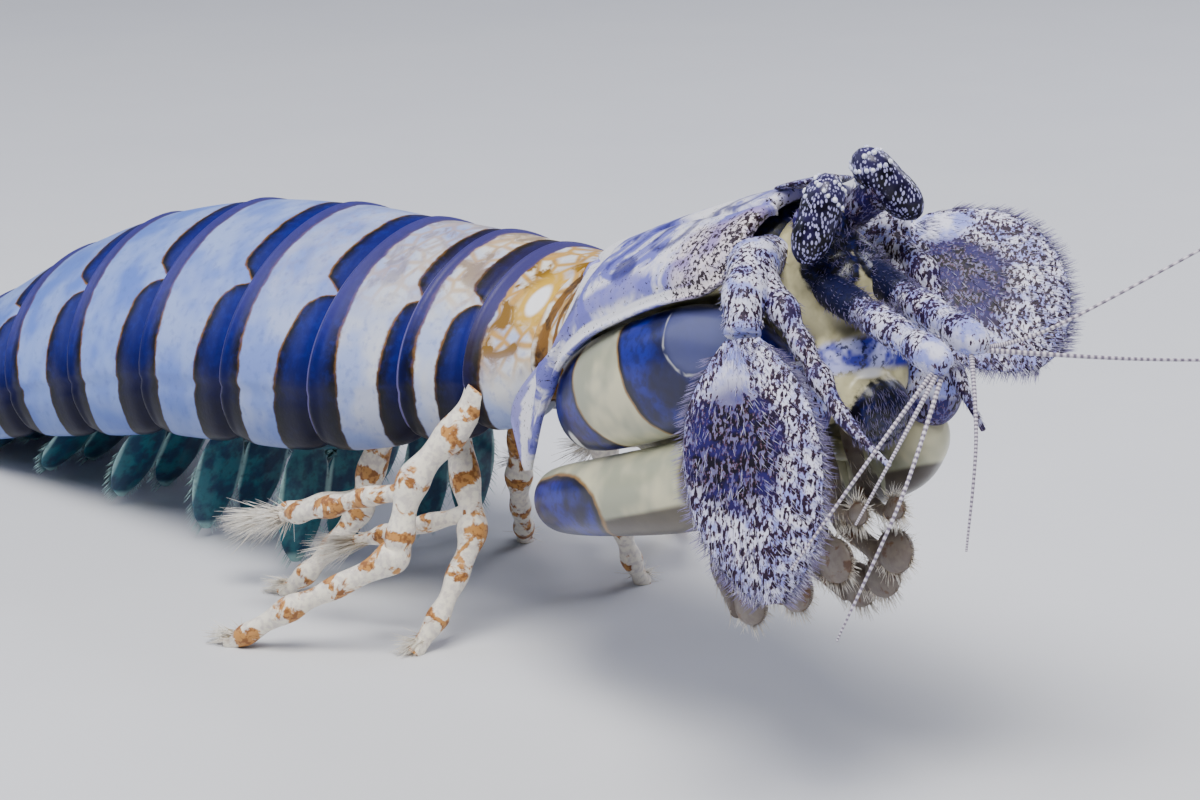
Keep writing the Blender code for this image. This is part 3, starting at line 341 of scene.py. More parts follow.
def banded_shell(tree):
    """Calcified shell with a wet gloss: pale plates, navy bands with a thin brown rim, and golden
    brown marbling where the plates are warm. The eye reads porcelain under glaze."""
    where = add(tree, PLACE)
    soft = add(tree, NOISE, where, per_mm(9.0), 2.0)
    fine = add(tree, NOISE, where, per_mm(1.4), 4.0)
    wobble = add(tree, NOISE, where, per_mm(2.6), 3.0)
    warm_white = add(tree, MIX, (FADE, soft, 0.35, 0.65), "#dfdcd0", "#aebbdc")
    cold_white = add(tree, MIX, (FADE, soft, 0.35, 0.65), "#8ba4e2", "#5f7ed2")
    base = add(tree, MIX, "cold", warm_white, cold_white)
    base = add(tree, MIX, (FADE, fine, 0.5, 0.72, 0.0, 0.35), base, "#5468b4")
    # Painted shade: the lower flank turns darker and bluer towards the belly.
    shade = add(tree, FADE, "low", 0.55, 1.0, 0.0, 0.55)
    base = add(tree, MIX, shade, base, "#51659c")
    reticle = add(tree, CELLS, where, per_mm(3.3), 0.9, feature="DISTANCE_TO_EDGE")
    veins = add(tree, FADE, reticle, 0.03, 0.22, 1.0, 0.0)
    blotch = add(tree, FADE, (NOISE, where, per_mm(5.0), 4.0, 0.6, 0.6), 0.46, 0.6)
    golden = add(tree, MIX, blotch, "#b8871a", "#7d5a14")
    cover = add(tree, LARGER, (TIMES, veins, 0.9), blotch)
    base = add(tree, MIX, (TIMES, cover, "warm"), base, golden)
    spot = add(tree, FIELD, attribute_name="spot")
    base = add(tree, MIX, (FADE, spot, 2.4, 5.2, 0.9, 0.0), base, "#cfa53c")
    base = add(tree, MIX, (FADE, spot, 1.6, 2.4, 1.0, 0.0), base, "#f2f2f4")
    brown = add(tree, TIMES_PLUS, wobble, 0.9, (MINUS, "stripe", 0.45))
    base = add(tree, MIX, (FADE, brown, 0.28, 0.52), base, (MIX, blotch, "#7a5420", "#3c2610"))
    edge = add(tree, TIMES_PLUS, wobble, 1.5, "mark")
    edge = add(tree, MINUS, edge, 0.75)
    deep = add(tree, RAMP, (FADE, edge, -3.0, 1.0),
               stops=((0.0, "#0d1466"), (1.0, "#8a6428"), (0.45, "#080b3e"), (0.7, "#060614"),
                      (0.79, "#120c0a"), (0.88, "#6e4a1e")))
    deep = add(tree, MIX, (FADE, fine, 0.45, 0.7, 0.0, 0.3), deep, "#1a2a94")
    deep = add(tree, MIX, (FADE, "low", 0.42, 0.85, 0.0, 0.9), deep, "#04040c")
    deep = add(tree, MIX, (TIMES, "warm", 0.8), deep, "#2c2418")
    deep = add(tree, MIX, (TIMES, "lilac", 0.5), deep, "#4c4892")
    base = add(tree, MIX, (FADE, edge, 0.25, 0.75, 1.0, 0.0), base, deep)
    base = add(tree, MIX, (FADE, "edge", 0.5, 1.0, 0.75, 0.0), base, "#7a72ac")
    relief = add(tree, TIMES_PLUS, (NOISE, where, per_mm(0.45), 3.0), 0.5, fine)
    return base, relief, 0.35, 0.12


def marbled_shield(tree):
    """The carapace: white porcelain-like shell marbled with lavender, rings of violet, and brown
    black speckles on its front corners."""
    where = add(tree, PLACE)
    cloud = add(tree, NOISE, where, per_mm(10.0), 4.0, 0.55, 1.2)
    fine = add(tree, NOISE, where, per_mm(1.6), 4.0)
    white = add(tree, MIX, (FADE, fine, 0.4, 0.7), "#e6e4ee", "#b9bce4")
    base = add(tree, MIX, (FADE, cloud, 0.46, 0.56), white, "#6f70c2")
    base = add(tree, MIX, (FADE, cloud, 0.6, 0.68), base, "#45449a")
    mark = add(tree, TIMES_PLUS, fine, 1.6, (MINUS, "mark", 0.8))
    base = add(tree, MIX, (FADE, mark, -0.3, 0.6, 0.85, 0.0), base, "#2c2a70")
    white_part = add(tree, TIMES_PLUS, (MINUS, cloud, 0.5), 1.2, "white")
    base = add(tree, MIX, (FADE, white_part, 0.3, 0.7), base, "#ecebf2")
    # Lilac: a rim at the rear edge that widens on the low lobes as painted shade, and tints near the lower
    # margin and the front.
    base = add(tree, MIX, (FADE, "lilac", 0.2, 0.8, 0.0, 0.85), base, "#6d6cc0")
    flush = add(tree, FADE, "speck", 0.2, 0.9, 0.0, 0.35)
    base = add(tree, MIX, flush, base, "#c9a4a4")
    grains = add(tree, NOISE, where, per_mm(0.62), 3.0, 0.7)
    specks = add(tree, TIMES_PLUS, "speck", 0.12, grains)
    base = add(tree, MIX, (FADE, specks, 0.62, 0.66), base, "#24141e")
    relief = add(tree, TIMES_PLUS, (NOISE, where, per_mm(0.5), 3.0), 0.4, fine)
    return base, relief, 0.35, 0.12


def claw_shell(tree):
    """Thick smooth shell of the striking claws: cream enamel with deep blue patches, whose edge is
    a thin brown line."""
    where = add(tree, PLACE)
    soft = add(tree, NOISE, where, per_mm(7.0), 2.0)
    fine = add(tree, NOISE, where, per_mm(1.2), 4.0)
    cream = add(tree, MIX, (FADE, soft, 0.35, 0.65), "#cfcaa8", "#9fa18a")
    edge = add(tree, TIMES_PLUS, (NOISE, where, per_mm(3.0)), 0.8, "mark")
    edge = add(tree, MINUS, edge, 0.4)
    base = add(tree, MIX, (FADE, "brown", 0.15, 0.85, 0.0, 0.9), cream, "#33231b")
    deep = add(tree, MIX, (FADE, soft, 0.4, 0.62), "#080b3c", "#101c86")
    deep = add(tree, MIX, (FADE, fine, 0.42, 0.66, 0.0, 0.6), deep, "#07082c")
    deep = add(tree, MIX, "grey", deep, "#4a4e78")
    rim = add(tree, MIX, (FADE, edge, -1.3, -0.3), deep, "#0c0a1e")
    rim = add(tree, MIX, (FADE, edge, -0.25, 0.1), rim, "#8a6a3c")
    base = add(tree, MIX, (FADE, edge, 0.1, 0.6, 1.0, 0.0), base, rim)
    base = add(tree, MIX, (FADE, "white", 0.3, 0.7), base, "#f2f2ee")
    return base, fine, 0.2, 0.08


def speckled_shell(tree):
    """Thin shell under short bristles: white strewn with purple black specks that run along the
    bristles, and a dark violet patch on each blade. The specks are drawn about twice their size so
    that they show."""
    where = add(tree, PLACE)
    streak = add(tree, STRETCH, where, (0.5, 0.35, 0.3), (1.0, 1.0, 0.42))
    grains = add(tree, NOISE, streak, per_mm(0.44), 2.0, 0.6)
    clumps = add(tree, NOISE, where, per_mm(2.8), 3.0)
    dark = add(tree, FIELD, attribute_name="dark")
    level = add(tree, TIMES_PLUS, dark, 0.075, (TIMES_PLUS, clumps, 0.3, grains))
    level = add(tree, TIMES_PLUS, "white", -0.25, level)
    light = add(tree, MIX, (FADE, clumps, 0.4, 0.62), "#dcdcf2", "#8f97e0")
    light = add(tree, MIX, (TIMES, dark, 0.85), light, "#3a3474")
    base = add(tree, MIX, (FADE, level, 0.635, 0.665, 0.0, 0.9), light, "#5e3c40")
    violet = add(tree, MIX, (FADE, clumps, 0.45, 0.6), "#0e0818", "#221a5c")
    base = add(tree, MIX, (FADE, level, 0.665, 0.7), base, (MIX, dark, "#24142a", violet))
    velvet = add(tree, TIMES_PLUS, grains, 0.5, (MINUS, "velvet", 0.25))
    base = add(tree, MIX, (FADE, velvet, 0.4, 0.6), base, (MIX, grains, "#020208", "#0b1146"))
    return base, grains, 0.5, 0.18


def limb_shell(tree):
    """Soft jointed limb: cream white shell mottled with orange brown, darker at the joints."""
    where = add(tree, PLACE)
    mottle = add(tree, NOISE, where, per_mm(3.4), 4.0, 0.6, 0.5)
    fine = add(tree, NOISE, where, per_mm(0.9), 3.0)
    cream = add(tree, MIX, (FADE, fine, 0.4, 0.65), "#f1ead9", "#d6cdc4")
    warm = add(tree, MIX, (FADE, fine, 0.45, 0.6), "#c08a4c", "#8c5a30")
    level = add(tree, TIMES_PLUS, "joint", 0.14, mottle)
    base = add(tree, MIX, (FADE, level, 0.545, 0.61), cream, warm)
    base = add(tree, MIX, (FADE, "dark", 0.1, 0.9, 0.0, 0.9), base, "#4a3a34")
    return base, fine, 0.4, 0.15


def face_shell(tree):
    """Smooth front of the head: cream enamel, with deep blue velvet patches where short bristles stand,
    and glassy blue white mouth parts. The same dark velvet on the flesh under the shield is partly
    painted shade, and the white below the mouth is a painted highlight."""
    where = add(tree, PLACE)
    fine = add(tree, NOISE, where, per_mm(0.9), 4.0, 0.6)
    soft = add(tree, NOISE, where, per_mm(4.0), 3.0)
    cream = add(tree, MIX, (FADE, soft, 0.35, 0.65), "#d2cba0", "#a39c78")
    edge = add(tree, TIMES_PLUS, fine, 1.6, (MINUS, "mark", 0.8))
    velvet = add(tree, MIX, (FADE, fine, 0.42, 0.66), "#030309", "#0b124c")
    base = add(tree, MIX, (FADE, edge, -0.2, 0.5, 1.0, 0.0), cream, velvet)
    glassy = add(tree, MIX, (FADE, soft, 0.42, 0.58), "#aeb2e8", "#26289c")
    glassy = add(tree, MIX, (FADE, fine, 0.54, 0.62, 0.0, 0.9), glassy, "#0e1040")
    base = add(tree, MIX, (FADE, "glassy", 0.3, 0.7), base, glassy)
    # The white patch below the mouth is a painted highlight.
    base = add(tree, MIX, (FADE, "white", 0.35, 0.65), base, "#f0efec")
    return base, fine, 0.3, 0.12


def cornea(tree):
    """Faceted cornea: dark wet glass strewn with short pale dashes in rows, one for each few
    facets, drawn coarser than the real ones so that they show."""
    where = add(tree, PLACE)
    slant = add(tree, STRETCH, where, (0.4, 0.5, 0.0), (1.0, 1.0, 0.5))
    cells = add(tree, CELLS, slant, per_mm(0.4), 0.85)
    cloud = add(tree, NOISE, where, per_mm(2.2), 3.0)
    pale = add(tree, FIELD, attribute_name="pale")
    dashes = add(tree, FADE, cells, 0.28, 0.44, 1.0, 0.0)
    amount = add(tree, TIMES, dashes, (FADE, cloud, 0.3, 0.44))
    ground = add(tree, MIX, (FADE, cloud, 0.4, 0.65), "#07050f", "#1e173a")
    ground = add(tree, MIX, (TIMES, pale, 0.3), ground, "#4a4478")
    base = add(tree, MIX, amount, ground, "#a6a3d4")
    return base, cells, 0.25, 0.08


def highlight_bead(tree):
    """Clear bead of cornea with a milky centre, set on the eye as a painted highlight."""
    where = add(tree, PLACE)
    base = add(tree, MIX, (FADE, (NOISE, where, per_mm(0.5)), 0.4, 0.6), "#eeeefa", "#c4c8ee")
    return base, None, 0.0, 0.0


def swimmer_skin(tree):
    """Thin wet skin of the swimming legs and gills: blue green, paler at its edge, and half clear."""
    where = add(tree, PLACE)
    cloud = add(tree, NOISE, where, per_mm(3.5), 3.0)
    base = add(tree, MIX, (FADE, cloud, 0.4, 0.62), "#2a6a78", "#153a58")
    base = add(tree, MIX, (FADE, "pale", 0.2, 0.9, 0.0, 0.8), base, "#9cc4c2")
    base = add(tree, MIX, (FADE, (NOISE, where, per_mm(1.0)), 0.5, 0.7, 0.0, 0.4), base, "#0f2238")
    return base, cloud, 0.3, 0.12


def bristle(root, tip, tree):
    """Chitin bristle: a fine stiff hair, darker at its root, with a satin shine."""
    along = add(tree, FIELD, attribute_name="tip")
    where = add(tree, PLACE)
    shade = add(tree, MIX, (FADE, along, 0.0, 0.6), root, tip)
    base = add(tree, MIX, (FADE, (NOISE, where, per_mm(2.0)), 0.45, 0.6, 0.0, 0.35), shade, root)
    return base, None, 0.0, 0.0


def ringed_lash(tree):
    """Antennule lash: a whip of short rings, dark and pale by turns, as in a twisted thread."""
    rings = add(tree, FIELD, attribute_name="ring")
    base = add(tree, MIX, (FADE, rings, 0.2, 0.8), "#6c6276", "#cfc8d4")
    return base, rings, 0.4, 0.1


SHELL = coat("glazed_banded_shell", banded_shell, 0.36, specular=0.16, wet=0.03)
SHIELD = coat("glazed_marbled_shield", marbled_shield, 0.38, specular=0.25, wet=0.05)
CLAW = coat("enamelled_claw_shell", claw_shell, 0.30, specular=0.3, wet=0.12)
SPECKLED = coat("hairy_speckled_shell", speckled_shell, 0.50, specular=0.2)
LIMB = coat("mottled_limb_shell", limb_shell, 0.42, specular=0.3, glow=0.08)
FACE = coat("enamelled_face_shell", face_shell, 0.32, specular=0.3, wet=0.12)
CORNEA = coat("wet_faceted_cornea", cornea, 0.28, ior=1.38, specular=0.25, wet=0.12)
HIGHLIGHT_BEAD = coat("painted_highlight_bead", highlight_bead, 0.12, ior=1.40, wet=0.6, glow=0.2)
SWIMMER = coat("wet_translucent_skin", swimmer_skin, 0.30, ior=1.40, wet=0.3, glow=0.3)
LASH = coat("ringed_lash_shell", ringed_lash, 0.35, wet=0.1)
PALE_BRISTLE, DARK_BRISTLE, LAVENDER_BRISTLE, SEA_BRISTLE = (
    coat(name, partial(bristle, root, tip), 0.45) for name, root, tip in (
        ("pale_bristle", "#b9a88e", "#f4efe4"), ("dark_bristle", "#2a2138", "#8d84b4"),
        ("lavender_bristle", "#7f7cc0", "#e4e3f6"), ("sea_bristle", "#3d7f86", "#b5d8d2")))


# Trunk: x, y, z of the back, nose-up pitch, yaw, half width, depth to the shell's lower edge.
TRUNK_STATIONS = (
    (62.6, -1.5, 63.8, 20.5, -13.0, 15.4, 13.5), (50.5, 0.6, 60.3, 19.0, -10.5, 17.0, 20.8),
    (36.0, 0.9, 59.6, 14.0, -7.0, 19.2, 26.5), (23.0, 0.3, 59.5, 9.0, -4.0, 21.0, 30.0),
    (5.0, 0.0, 58.6, 3.0, -2.0, 24.0, 34.0), (-17.5, 0.0, 57.4, 2.0, 0.0, 25.7, 36.0),
    (-43.0, 0.0, 54.0, 7.0, 1.0, 26.5, 36.0), (-69.0, -1.0, 47.5, 16.0, 3.0, 26.5, 35.0),
    (-91.0, -3.0, 38.6, 22.0, 6.0, 26.0, 31.0), (-112.0, -6.0, 27.2, 25.0, 9.0, 24.5, 24.5),
    (-128.5, -9.0, 17.6, 24.0, 11.0, 20.5, 15.5),
)
# Each somite: width of its dark band at the front and at the rear, on the back and low on the
# flank, then how cold its white is and how warm its marbling.
SOMITES = (
    ("thorax_5", -1.0, -1.0, -1.0, -1.0, 0.0, 1.0), ("thorax_6", -1.0, -1.0, 2.8, 2.8, 0.0, 1.0),
    ("thorax_7", 4.2, 6.0, 1.6, 2.2, 0.12, 0.75), ("thorax_8", 3.4, 4.4, 2.6, 5.0, 0.35, 0.5),
    ("abdomen_1", 5.6, 8.6, 2.6, 4.4, 0.75, 0.12), ("abdomen_2", 5.4, 8.2, 2.8, 5.0, 0.9, 0.0),
    ("abdomen_3", 5.4, 8.4, 2.8, 5.0, 1.0, 0.0), ("abdomen_4", 5.2, 8.2, 2.8, 4.6, 1.0, 0.0),
    ("abdomen_5", 4.6, 7.6, 2.6, 4.2, 1.0, 0.0), ("abdomen_6", 4.0, 6.4, 2.4, 3.4, 0.9, 0.2),
)
CREASE = 0.70
ARCH_POWER = 1.16
STERNUM_RECESS = 3.2
PLATE_OVERLAP = 0.7             # a plate's rear edge reaches over the next plate's front
EYE_SPOT = (1, 0.27, 5.6)       # somite, part of its length, millimetres down from the back
FAR = 9.0                       # a field's distance in millimetres where its mark is nowhere near
NO_SPOT = 20.0


def both_sides(half):
    """A closed ring from half a section that starts and ends on the middle plane."""
    return np.concatenate([half, half[-2:0:-1] * (-1.0, 1.0)])


def arch(half_width, drop, angle):
    """Across and down on an arch with sloping shoulders, at an angle from its top."""
    across = half_width * np.sin(angle) ** ARCH_POWER
    return across, drop * (1.0 - np.maximum(np.cos(angle), 0.0) ** ARCH_POWER)


def half_section(half_width, depth):
    """Half a trunk section, from the back's middle to the belly's."""
    across, down = arch(half_width, CREASE * depth, np.linspace(0.0, math.pi / 2, 34))
    sternum = depth - STERNUM_RECESS
    flank = smooth_path([(half_width, CREASE * depth), (0.99 * half_width, 0.84 * depth),
                         (0.94 * half_width, 0.96 * depth), (0.87 * half_width, depth),
                         (0.78 * half_width, 0.985 * depth), (0.6 * half_width, sternum),
                         (0.3 * half_width, sternum), (0.0, sternum)], 26)[1:]
    return np.concatenate([np.stack([across, down], axis=-1), flank])


def somite(index):
    """One trunk plate ring, with its band marks, rolled rear rim, side crease and rounded lobes."""
    name, front_top, front_low, rear_top, rear_low, cold, warm = SOMITES[index]
    station = smooth_rows(TRUNK_STATIONS, np.array([index, index + 1.0]))
    length = float(np.linalg.norm(station[0, :3] - station[1, :3]))
    overlap = PLATE_OVERLAP / length
    first = 0.2 / length if index == 0 else -overlap
    t = np.concatenate([np.linspace(first, 0.12, 8)[:-1], np.linspace(0.12, 0.86, 18)[:-1],
                        np.linspace(0.86, 1.0 + overlap, 14)])
    rows = smooth_rows(TRUNK_STATIONS, index + t)
    grow = -0.85 * step(0.16, 0.0, t) + 0.12 * t
    grow = grow + 0.42 * hump(t, 0.965, 0.035) - 0.35 * step(0.985, 1.0 + overlap, t)
    grid, downs = [], []
    for row, more, u in zip(rows, grow, t):
        outline = half_section(row[5] + more, row[6] + more)
        down_part = outline[:, 1] / (row[6] + more)
        lobe = step(CREASE, 1.0, down_part)
        outline[:, 1] -= lobe * 1.9 * abs(2.0 * np.clip(u, 0.0, 1.0) - 1.0) ** 5
        crease = 0.40 * hump(down_part, 0.735, 0.018) * (1.0 if index > 3 else 0.4)
        outline[:, 0] -= crease
        ring = both_sides(outline)
        local = np.stack([np.zeros(len(ring)), ring[:, 0], more - ring[:, 1]], axis=-1)
        grid.append(moved(local, turned(row[:3], row[4], row[3])))
        downs.append(np.concatenate([down_part, down_part[-2:0:-1]]))
    grid, down = np.array(grid), np.array(downs)
    along = t[:, None] * length
    low = step(0.05, 0.75, down)
    front = front_top + (front_low - front_top) * low
    if index >= 2:
        front = front * (1.0 - 0.45 * hump(down, 0.27, 0.055)) * (1.0 - 0.92 * hump(down, 0.265, 0.022))
    rear = rear_top + (rear_low - rear_top) * low
    mark = np.minimum(along - front, length - along - rear)
    mark = mark + 3.0 * step(0.985, 1.0, down) * (np.abs(grid[..., 1]) < 14)
    spot = NO_SPOT
    if index == EYE_SPOT[0]:
        spot = np.hypot(along - EYE_SPOT[1] * length, down * rows[:, 6, None] - EYE_SPOT[2])
    warmth = warm * (step(0.40, 0.14, down) if index > 1 else step(0.80, 0.5, down))
    stripe = 0.0
    if index == 1:
        stripe = 0.8 * hump(along, 0.2, 0.6)
    if index == 0:
        from_joint = length - along
        stripe = np.maximum(hump(from_joint, 2.4, 1.0 + 0.8 * down), 0.7 * hump(from_joint, 5.4, 0.7))
    rear_part = step(0.35, 0.75, t)[:, None] * step(0.55, 0.25, down)
    edge = np.where(t[:, None] < 0.5, FAR, (1.0 + overlap - t[:, None]) * length)
    skin_layer = body(grid, BODY, mark=mark, cold=cold, warm=warmth, spot=spot, edge=edge, stripe=stripe,
                      lilac=rear_part, low=down)
    return make("plate_" + name, [(skin_layer, SHELL)], (name,))


# Carapace in the head's frame: x at the lower margin, height of the back, half width, depth of the
# margin, and how far the section's upper part lies ahead of it.
CARAPACE_STATIONS = (
    (-11.8, 2.5, 19.3, 23.5, 19.5), (-8.2, 2.8, 20.2, 31.0, 17.0), (-4.0, 2.8, 21.0, 29.5, 14.2),
    (2.0, 2.7, 21.5, 24.5, 10.5), (9.0, 2.6, 21.3, 19.0, 6.5), (18.0, 2.6, 20.4, 15.6, 2.5),
    (28.0, 2.5, 19.0, 14.2, 0.0), (38.0, 2.2, 17.4, 13.4, 0.0), (46.0, 1.8, 15.9, 13.2, 0.0),
    (51.0, 1.5, 14.2, 11.5, 0.0),
)
FRONT_ROLL = ((52.7, 1.2, 13.2, 10.9, 0.0), (53.0, 0.3, 12.2, 9.8, 0.0), (52.3, -0.6, 11.4, 9.2, 0.0))
LOBE_TURN = (0.52, 0.96)        # parts of the depth between which the rear edge runs back
CREST_BACK = (0.5, 0.3)         # how far the back's middle lags, and down to which part of the depth
CARAPACE_ARCH = 19.0
SHIELD_THICKNESS = 1.0
GASTRIC_ANGLE = 34.0            # where the long grooves run, in degrees from the back's middle
# Violet rings and blots on the shield: x, millimetres from the middle, radius, ring or blot.
SHIELD_MARKS = ((35.0, 13.0, 3.4, 1), (22.0, 7.0, 4.0, 1), (44.5, 5.5, 2.8, 1), (8.0, 14.0, 3.2, 1),
                (28.0, 19.5, 2.2, 0), (14.0, 24.0, 2.8, 0), (39.0, 9.0, 1.8, 0), (2.0, 5.0, 3.0, 0))


def sweep(part):
    """How far forward the shield's section lies at a part of its depth, from 0 to 1."""
    lag, reach_down = CREST_BACK
    return 1.0 - step(*LOBE_TURN, part) - lag * np.maximum(1.0 - part / reach_down, 0.0) ** 1.5


def carapace():
    """The shield: a thin shell with long grooves, a rim along its margin and a front rolled in."""
    rows = smooth_path(CARAPACE_STATIONS + FRONT_ROLL, 96)
    angles = np.radians(np.linspace(0.0, 90.0, 40))
    grid, offs = [], []
    for x, back, half_width, depth, lean in rows:
        drop = min(CARAPACE_ARCH, 0.8 * depth)
        across, down = arch(half_width, drop, angles)
        hang = np.linspace(0.0, 1.0, 16)[1:]
        across = np.concatenate([across, half_width * (1.0 - 0.02 * hang)])
        down = np.concatenate([down, drop + hang * (depth - drop)])
        groove = 0.75 * hump(np.arange(len(down)), 40 * GASTRIC_ANGLE / 90.0 + 1.2 * math.sin(x * 0.16), 0.9)
        groove = groove + 0.35 * hump(x - 0.25 * across, 17.0, 1.1) * step(13.0, 9.0, across)
        rim = 0.35 * step(0.93, 1.0, down / depth)
        across, down = across - 0.8 * groove + rim, down + 0.6 * groove
        up = back - down
        forward = x + lean * sweep(down / depth)
        half = np.stack([forward, across, up], axis=-1)
        ring = np.concatenate([half[:0:-1] * (1.0, -1.0, 1.0), half])
        grid.append(ring)
        arc = np.concatenate([[0.0], np.cumsum(np.hypot(np.diff(across), np.diff(down)))])
        offs.append(np.concatenate([arc[:0:-1], arc]))
    grid, arc = np.array(grid), np.array(offs)
    whole = arc.max(axis=1, keepdims=True)
    x = grid[..., 0]
    mark = np.full(arc.shape, FAR)
    for cx, cs, radius, ring in SHIELD_MARKS:
        away = np.hypot((x - cx) * 0.8, arc - cs) - radius
        mark = np.minimum(mark, np.abs(away) - 0.45 if ring else away)
    from_rear = x - x[0]
    # Lilac along the rear edge: a thin rim on the back, widened on the low lobes as painted shade.
    rim = 0.5 + 2.2 * step(0.6, 0.85, arc / whole)
    white = step(8.5, 6.0, from_rear) + hump(whole - arc, 1.0, 0.8) * step(-2.0, 3.0, x)
    white = white + hump(np.hypot((x - 36.0) * 0.5, arc - 6.5), 0.0, 3.2)
    lilac = step(rim + 0.8, rim, from_rear)
    lilac = lilac + hump(whole - arc, 4.2, 2.0) * step(8.0, 11.0, from_rear) * step(40.0, 30.0, x)
    lilac = lilac + 0.7 * step(43.0, 47.0, x) * step(0.4, 0.2, arc / whole)
    speck = step(36.0, 44.0, x) * step(0.42, 0.62, arc / whole) + 0.4 * step(48.0, 52.0, x)
    layer = shell(grid, SHIELD_THICKNESS, HEAD, mark=mark, white=white, lilac=lilac, speck=speck)
    make("carapace_shield", [(layer, SHIELD)], ("carapace",))


# Flesh under the shield: x, half width above, half width between the claws, top, bottom.
CORE_STATIONS = (
    (-5.4, 10.0, 9.0, -12.0, -24.0), (2.0, 11.0, 9.4, -9.0, -28.2), (9.0, 14.5, 10.0, -2.5, -29.6),
    (15.0, 16.0, 10.2, 0.2, -30.0), (28.0, 14.4, 9.6, 0.0, -30.0), (40.0, 13.2, 8.4, -0.2, -30.0),
    (46.5, 12.2, 7.4, -0.6, -29.0), (49.6, 10.4, 6.6, -1.4, -26.5), (50.8, 7.4, 5.4, -3.4, -22.0))

CORE_ARCH = 9.5                 # height of its arched top


def thorax_core():
    """Flesh under the shield, which closes its front behind the eyes with a dark velvet skin. That dark
    front is partly furry skin and partly painted shade in the hollow under the shield's front.
    """
    grid = []
    for x, wide, narrow, top, bottom in smooth_path(CORE_STATIONS, 60):
        across, down = arch(wide, CORE_ARCH, np.radians(np.linspace(0.0, 90.0, 22)))
        shelf = top - CORE_ARCH
        low = smooth_path([(wide, -shelf), (0.97 * wide, 1.2 - shelf), (narrow, 2.6 - shelf),
                           (narrow, 0.5 * (-shelf - bottom)), (0.9 * narrow, -bottom - 2.5),
                           (0.6 * narrow, -bottom), (0.0, -bottom)], 26)[1:]
        half = np.concatenate([np.stack([across, down - top], axis=-1), low])
        ring = both_sides(half)
        grid.append(np.stack([np.full(len(ring), x), ring[:, 0], -ring[:, 1]], axis=-1))
    grid = np.array(grid)
    # Ahead of x 46 the front turns to dark velvet: partly furry skin, partly painted shade in the hollow
    # under the shield.
    mark = 46.0 - grid[..., 0] + 0.25 * np.abs(grid[..., 1])
    layer = body(grid, HEAD, mark=mark)
    make("body_under_shield", [(layer, FACE)], ("thorax_core",))


ROSTRAL_PLATE = ((51.35, 0.9, 5.2, 0.5), (52.5, 0.95, 5.6, 0.6), (55.0, 0.9, 5.0, 0.6),
                 (57.0, 0.7, 3.0, 0.55), (58.6, 0.5, 0.8, 0.3))


def rostral_plate():
    """Small flat plate in front of the shield, with a blunt point."""
    rows = smooth_path([(x, 0.0, z, wide, thick) for x, z, wide, thick in ROSTRAL_PLATE], 22)
    grid = oval_grid(rows, (0, 1, 0), 40, 0.25)
    make("rostral_shield", [(body(grid, HEAD, dark=0.35), SPECKLED)], ("rostral_plate",))


# Head in its own frame: face stations are x, half width, middle height, half height.
FACE_STATIONS = ((46.95, 7.6, -14.0, 12.4), (48.5, 8.0, -14.0, 12.0), (53.5, 7.8, -14.6, 9.8),
                 (56.5, 6.4, -15.8, 8.0), (59.0, 4.6, -16.4, 6.2), (60.4, 2.4, -16.8, 3.8))
# Round parts blended into the head: centre, radii.
HEAD_ROUNDS = (((54.2, 0.0, -4.4), (3.6, 3.9, 2.5)), ((57.2, 0.0, -22.4), (4.8, 5.6, 4.4)),
               ((58.4, 0.0, -29.6), (5.0, 4.9, 4.9)), ((56.6, 4.4, -24.6), (3.6, 2.2, 4.6)),
               ((56.6, -4.4, -24.6), (3.6, 2.2, 4.6)), ((59.8, 0.0, -20.6), (2.2, 3.4, 1.6)))
HEAD_VOXEL = 0.45
FACE_HAIRS = 900
# Dark velvet patches on the head: centre and radius.
VELVET = (((60.6, -4.2, -10.4), 4.4), ((60.6, 4.2, -10.4), 4.2), ((61.0, 0.0, -31.0), 4.6),
          ((58.0, 0.0, -6.5), 3.0), ((59.0, 0.0, -33.5), 4.2))


def blended(layers, voxel, rounds):
    """Points and faces of several closed skins grown into one smooth form."""
    obj = bpy.data.objects.new("blend", plain_mesh("blend", layers, even=True))
    bpy.context.scene.collection.objects.link(obj)
    remesh = obj.modifiers.new("grow", "REMESH")
    remesh.mode = "VOXEL"
    remesh.voxel_size = voxel * MM
    smooth = obj.modifiers.new("soften", "SMOOTH")
    smooth.factor = 0.5
    smooth.iterations = rounds
    graph = bpy.context.evaluated_depsgraph_get()
    mesh = bpy.data.meshes.new_from_object(obj.evaluated_get(graph))
    points = np.zeros(len(mesh.vertices) * 3)
    mesh.vertices.foreach_get("co", points)
    faces = [list(p.vertices) for p in mesh.polygons]
    bpy.data.objects.remove(obj, do_unlink=True)
    return points.reshape(-1, 3) / MM, faces


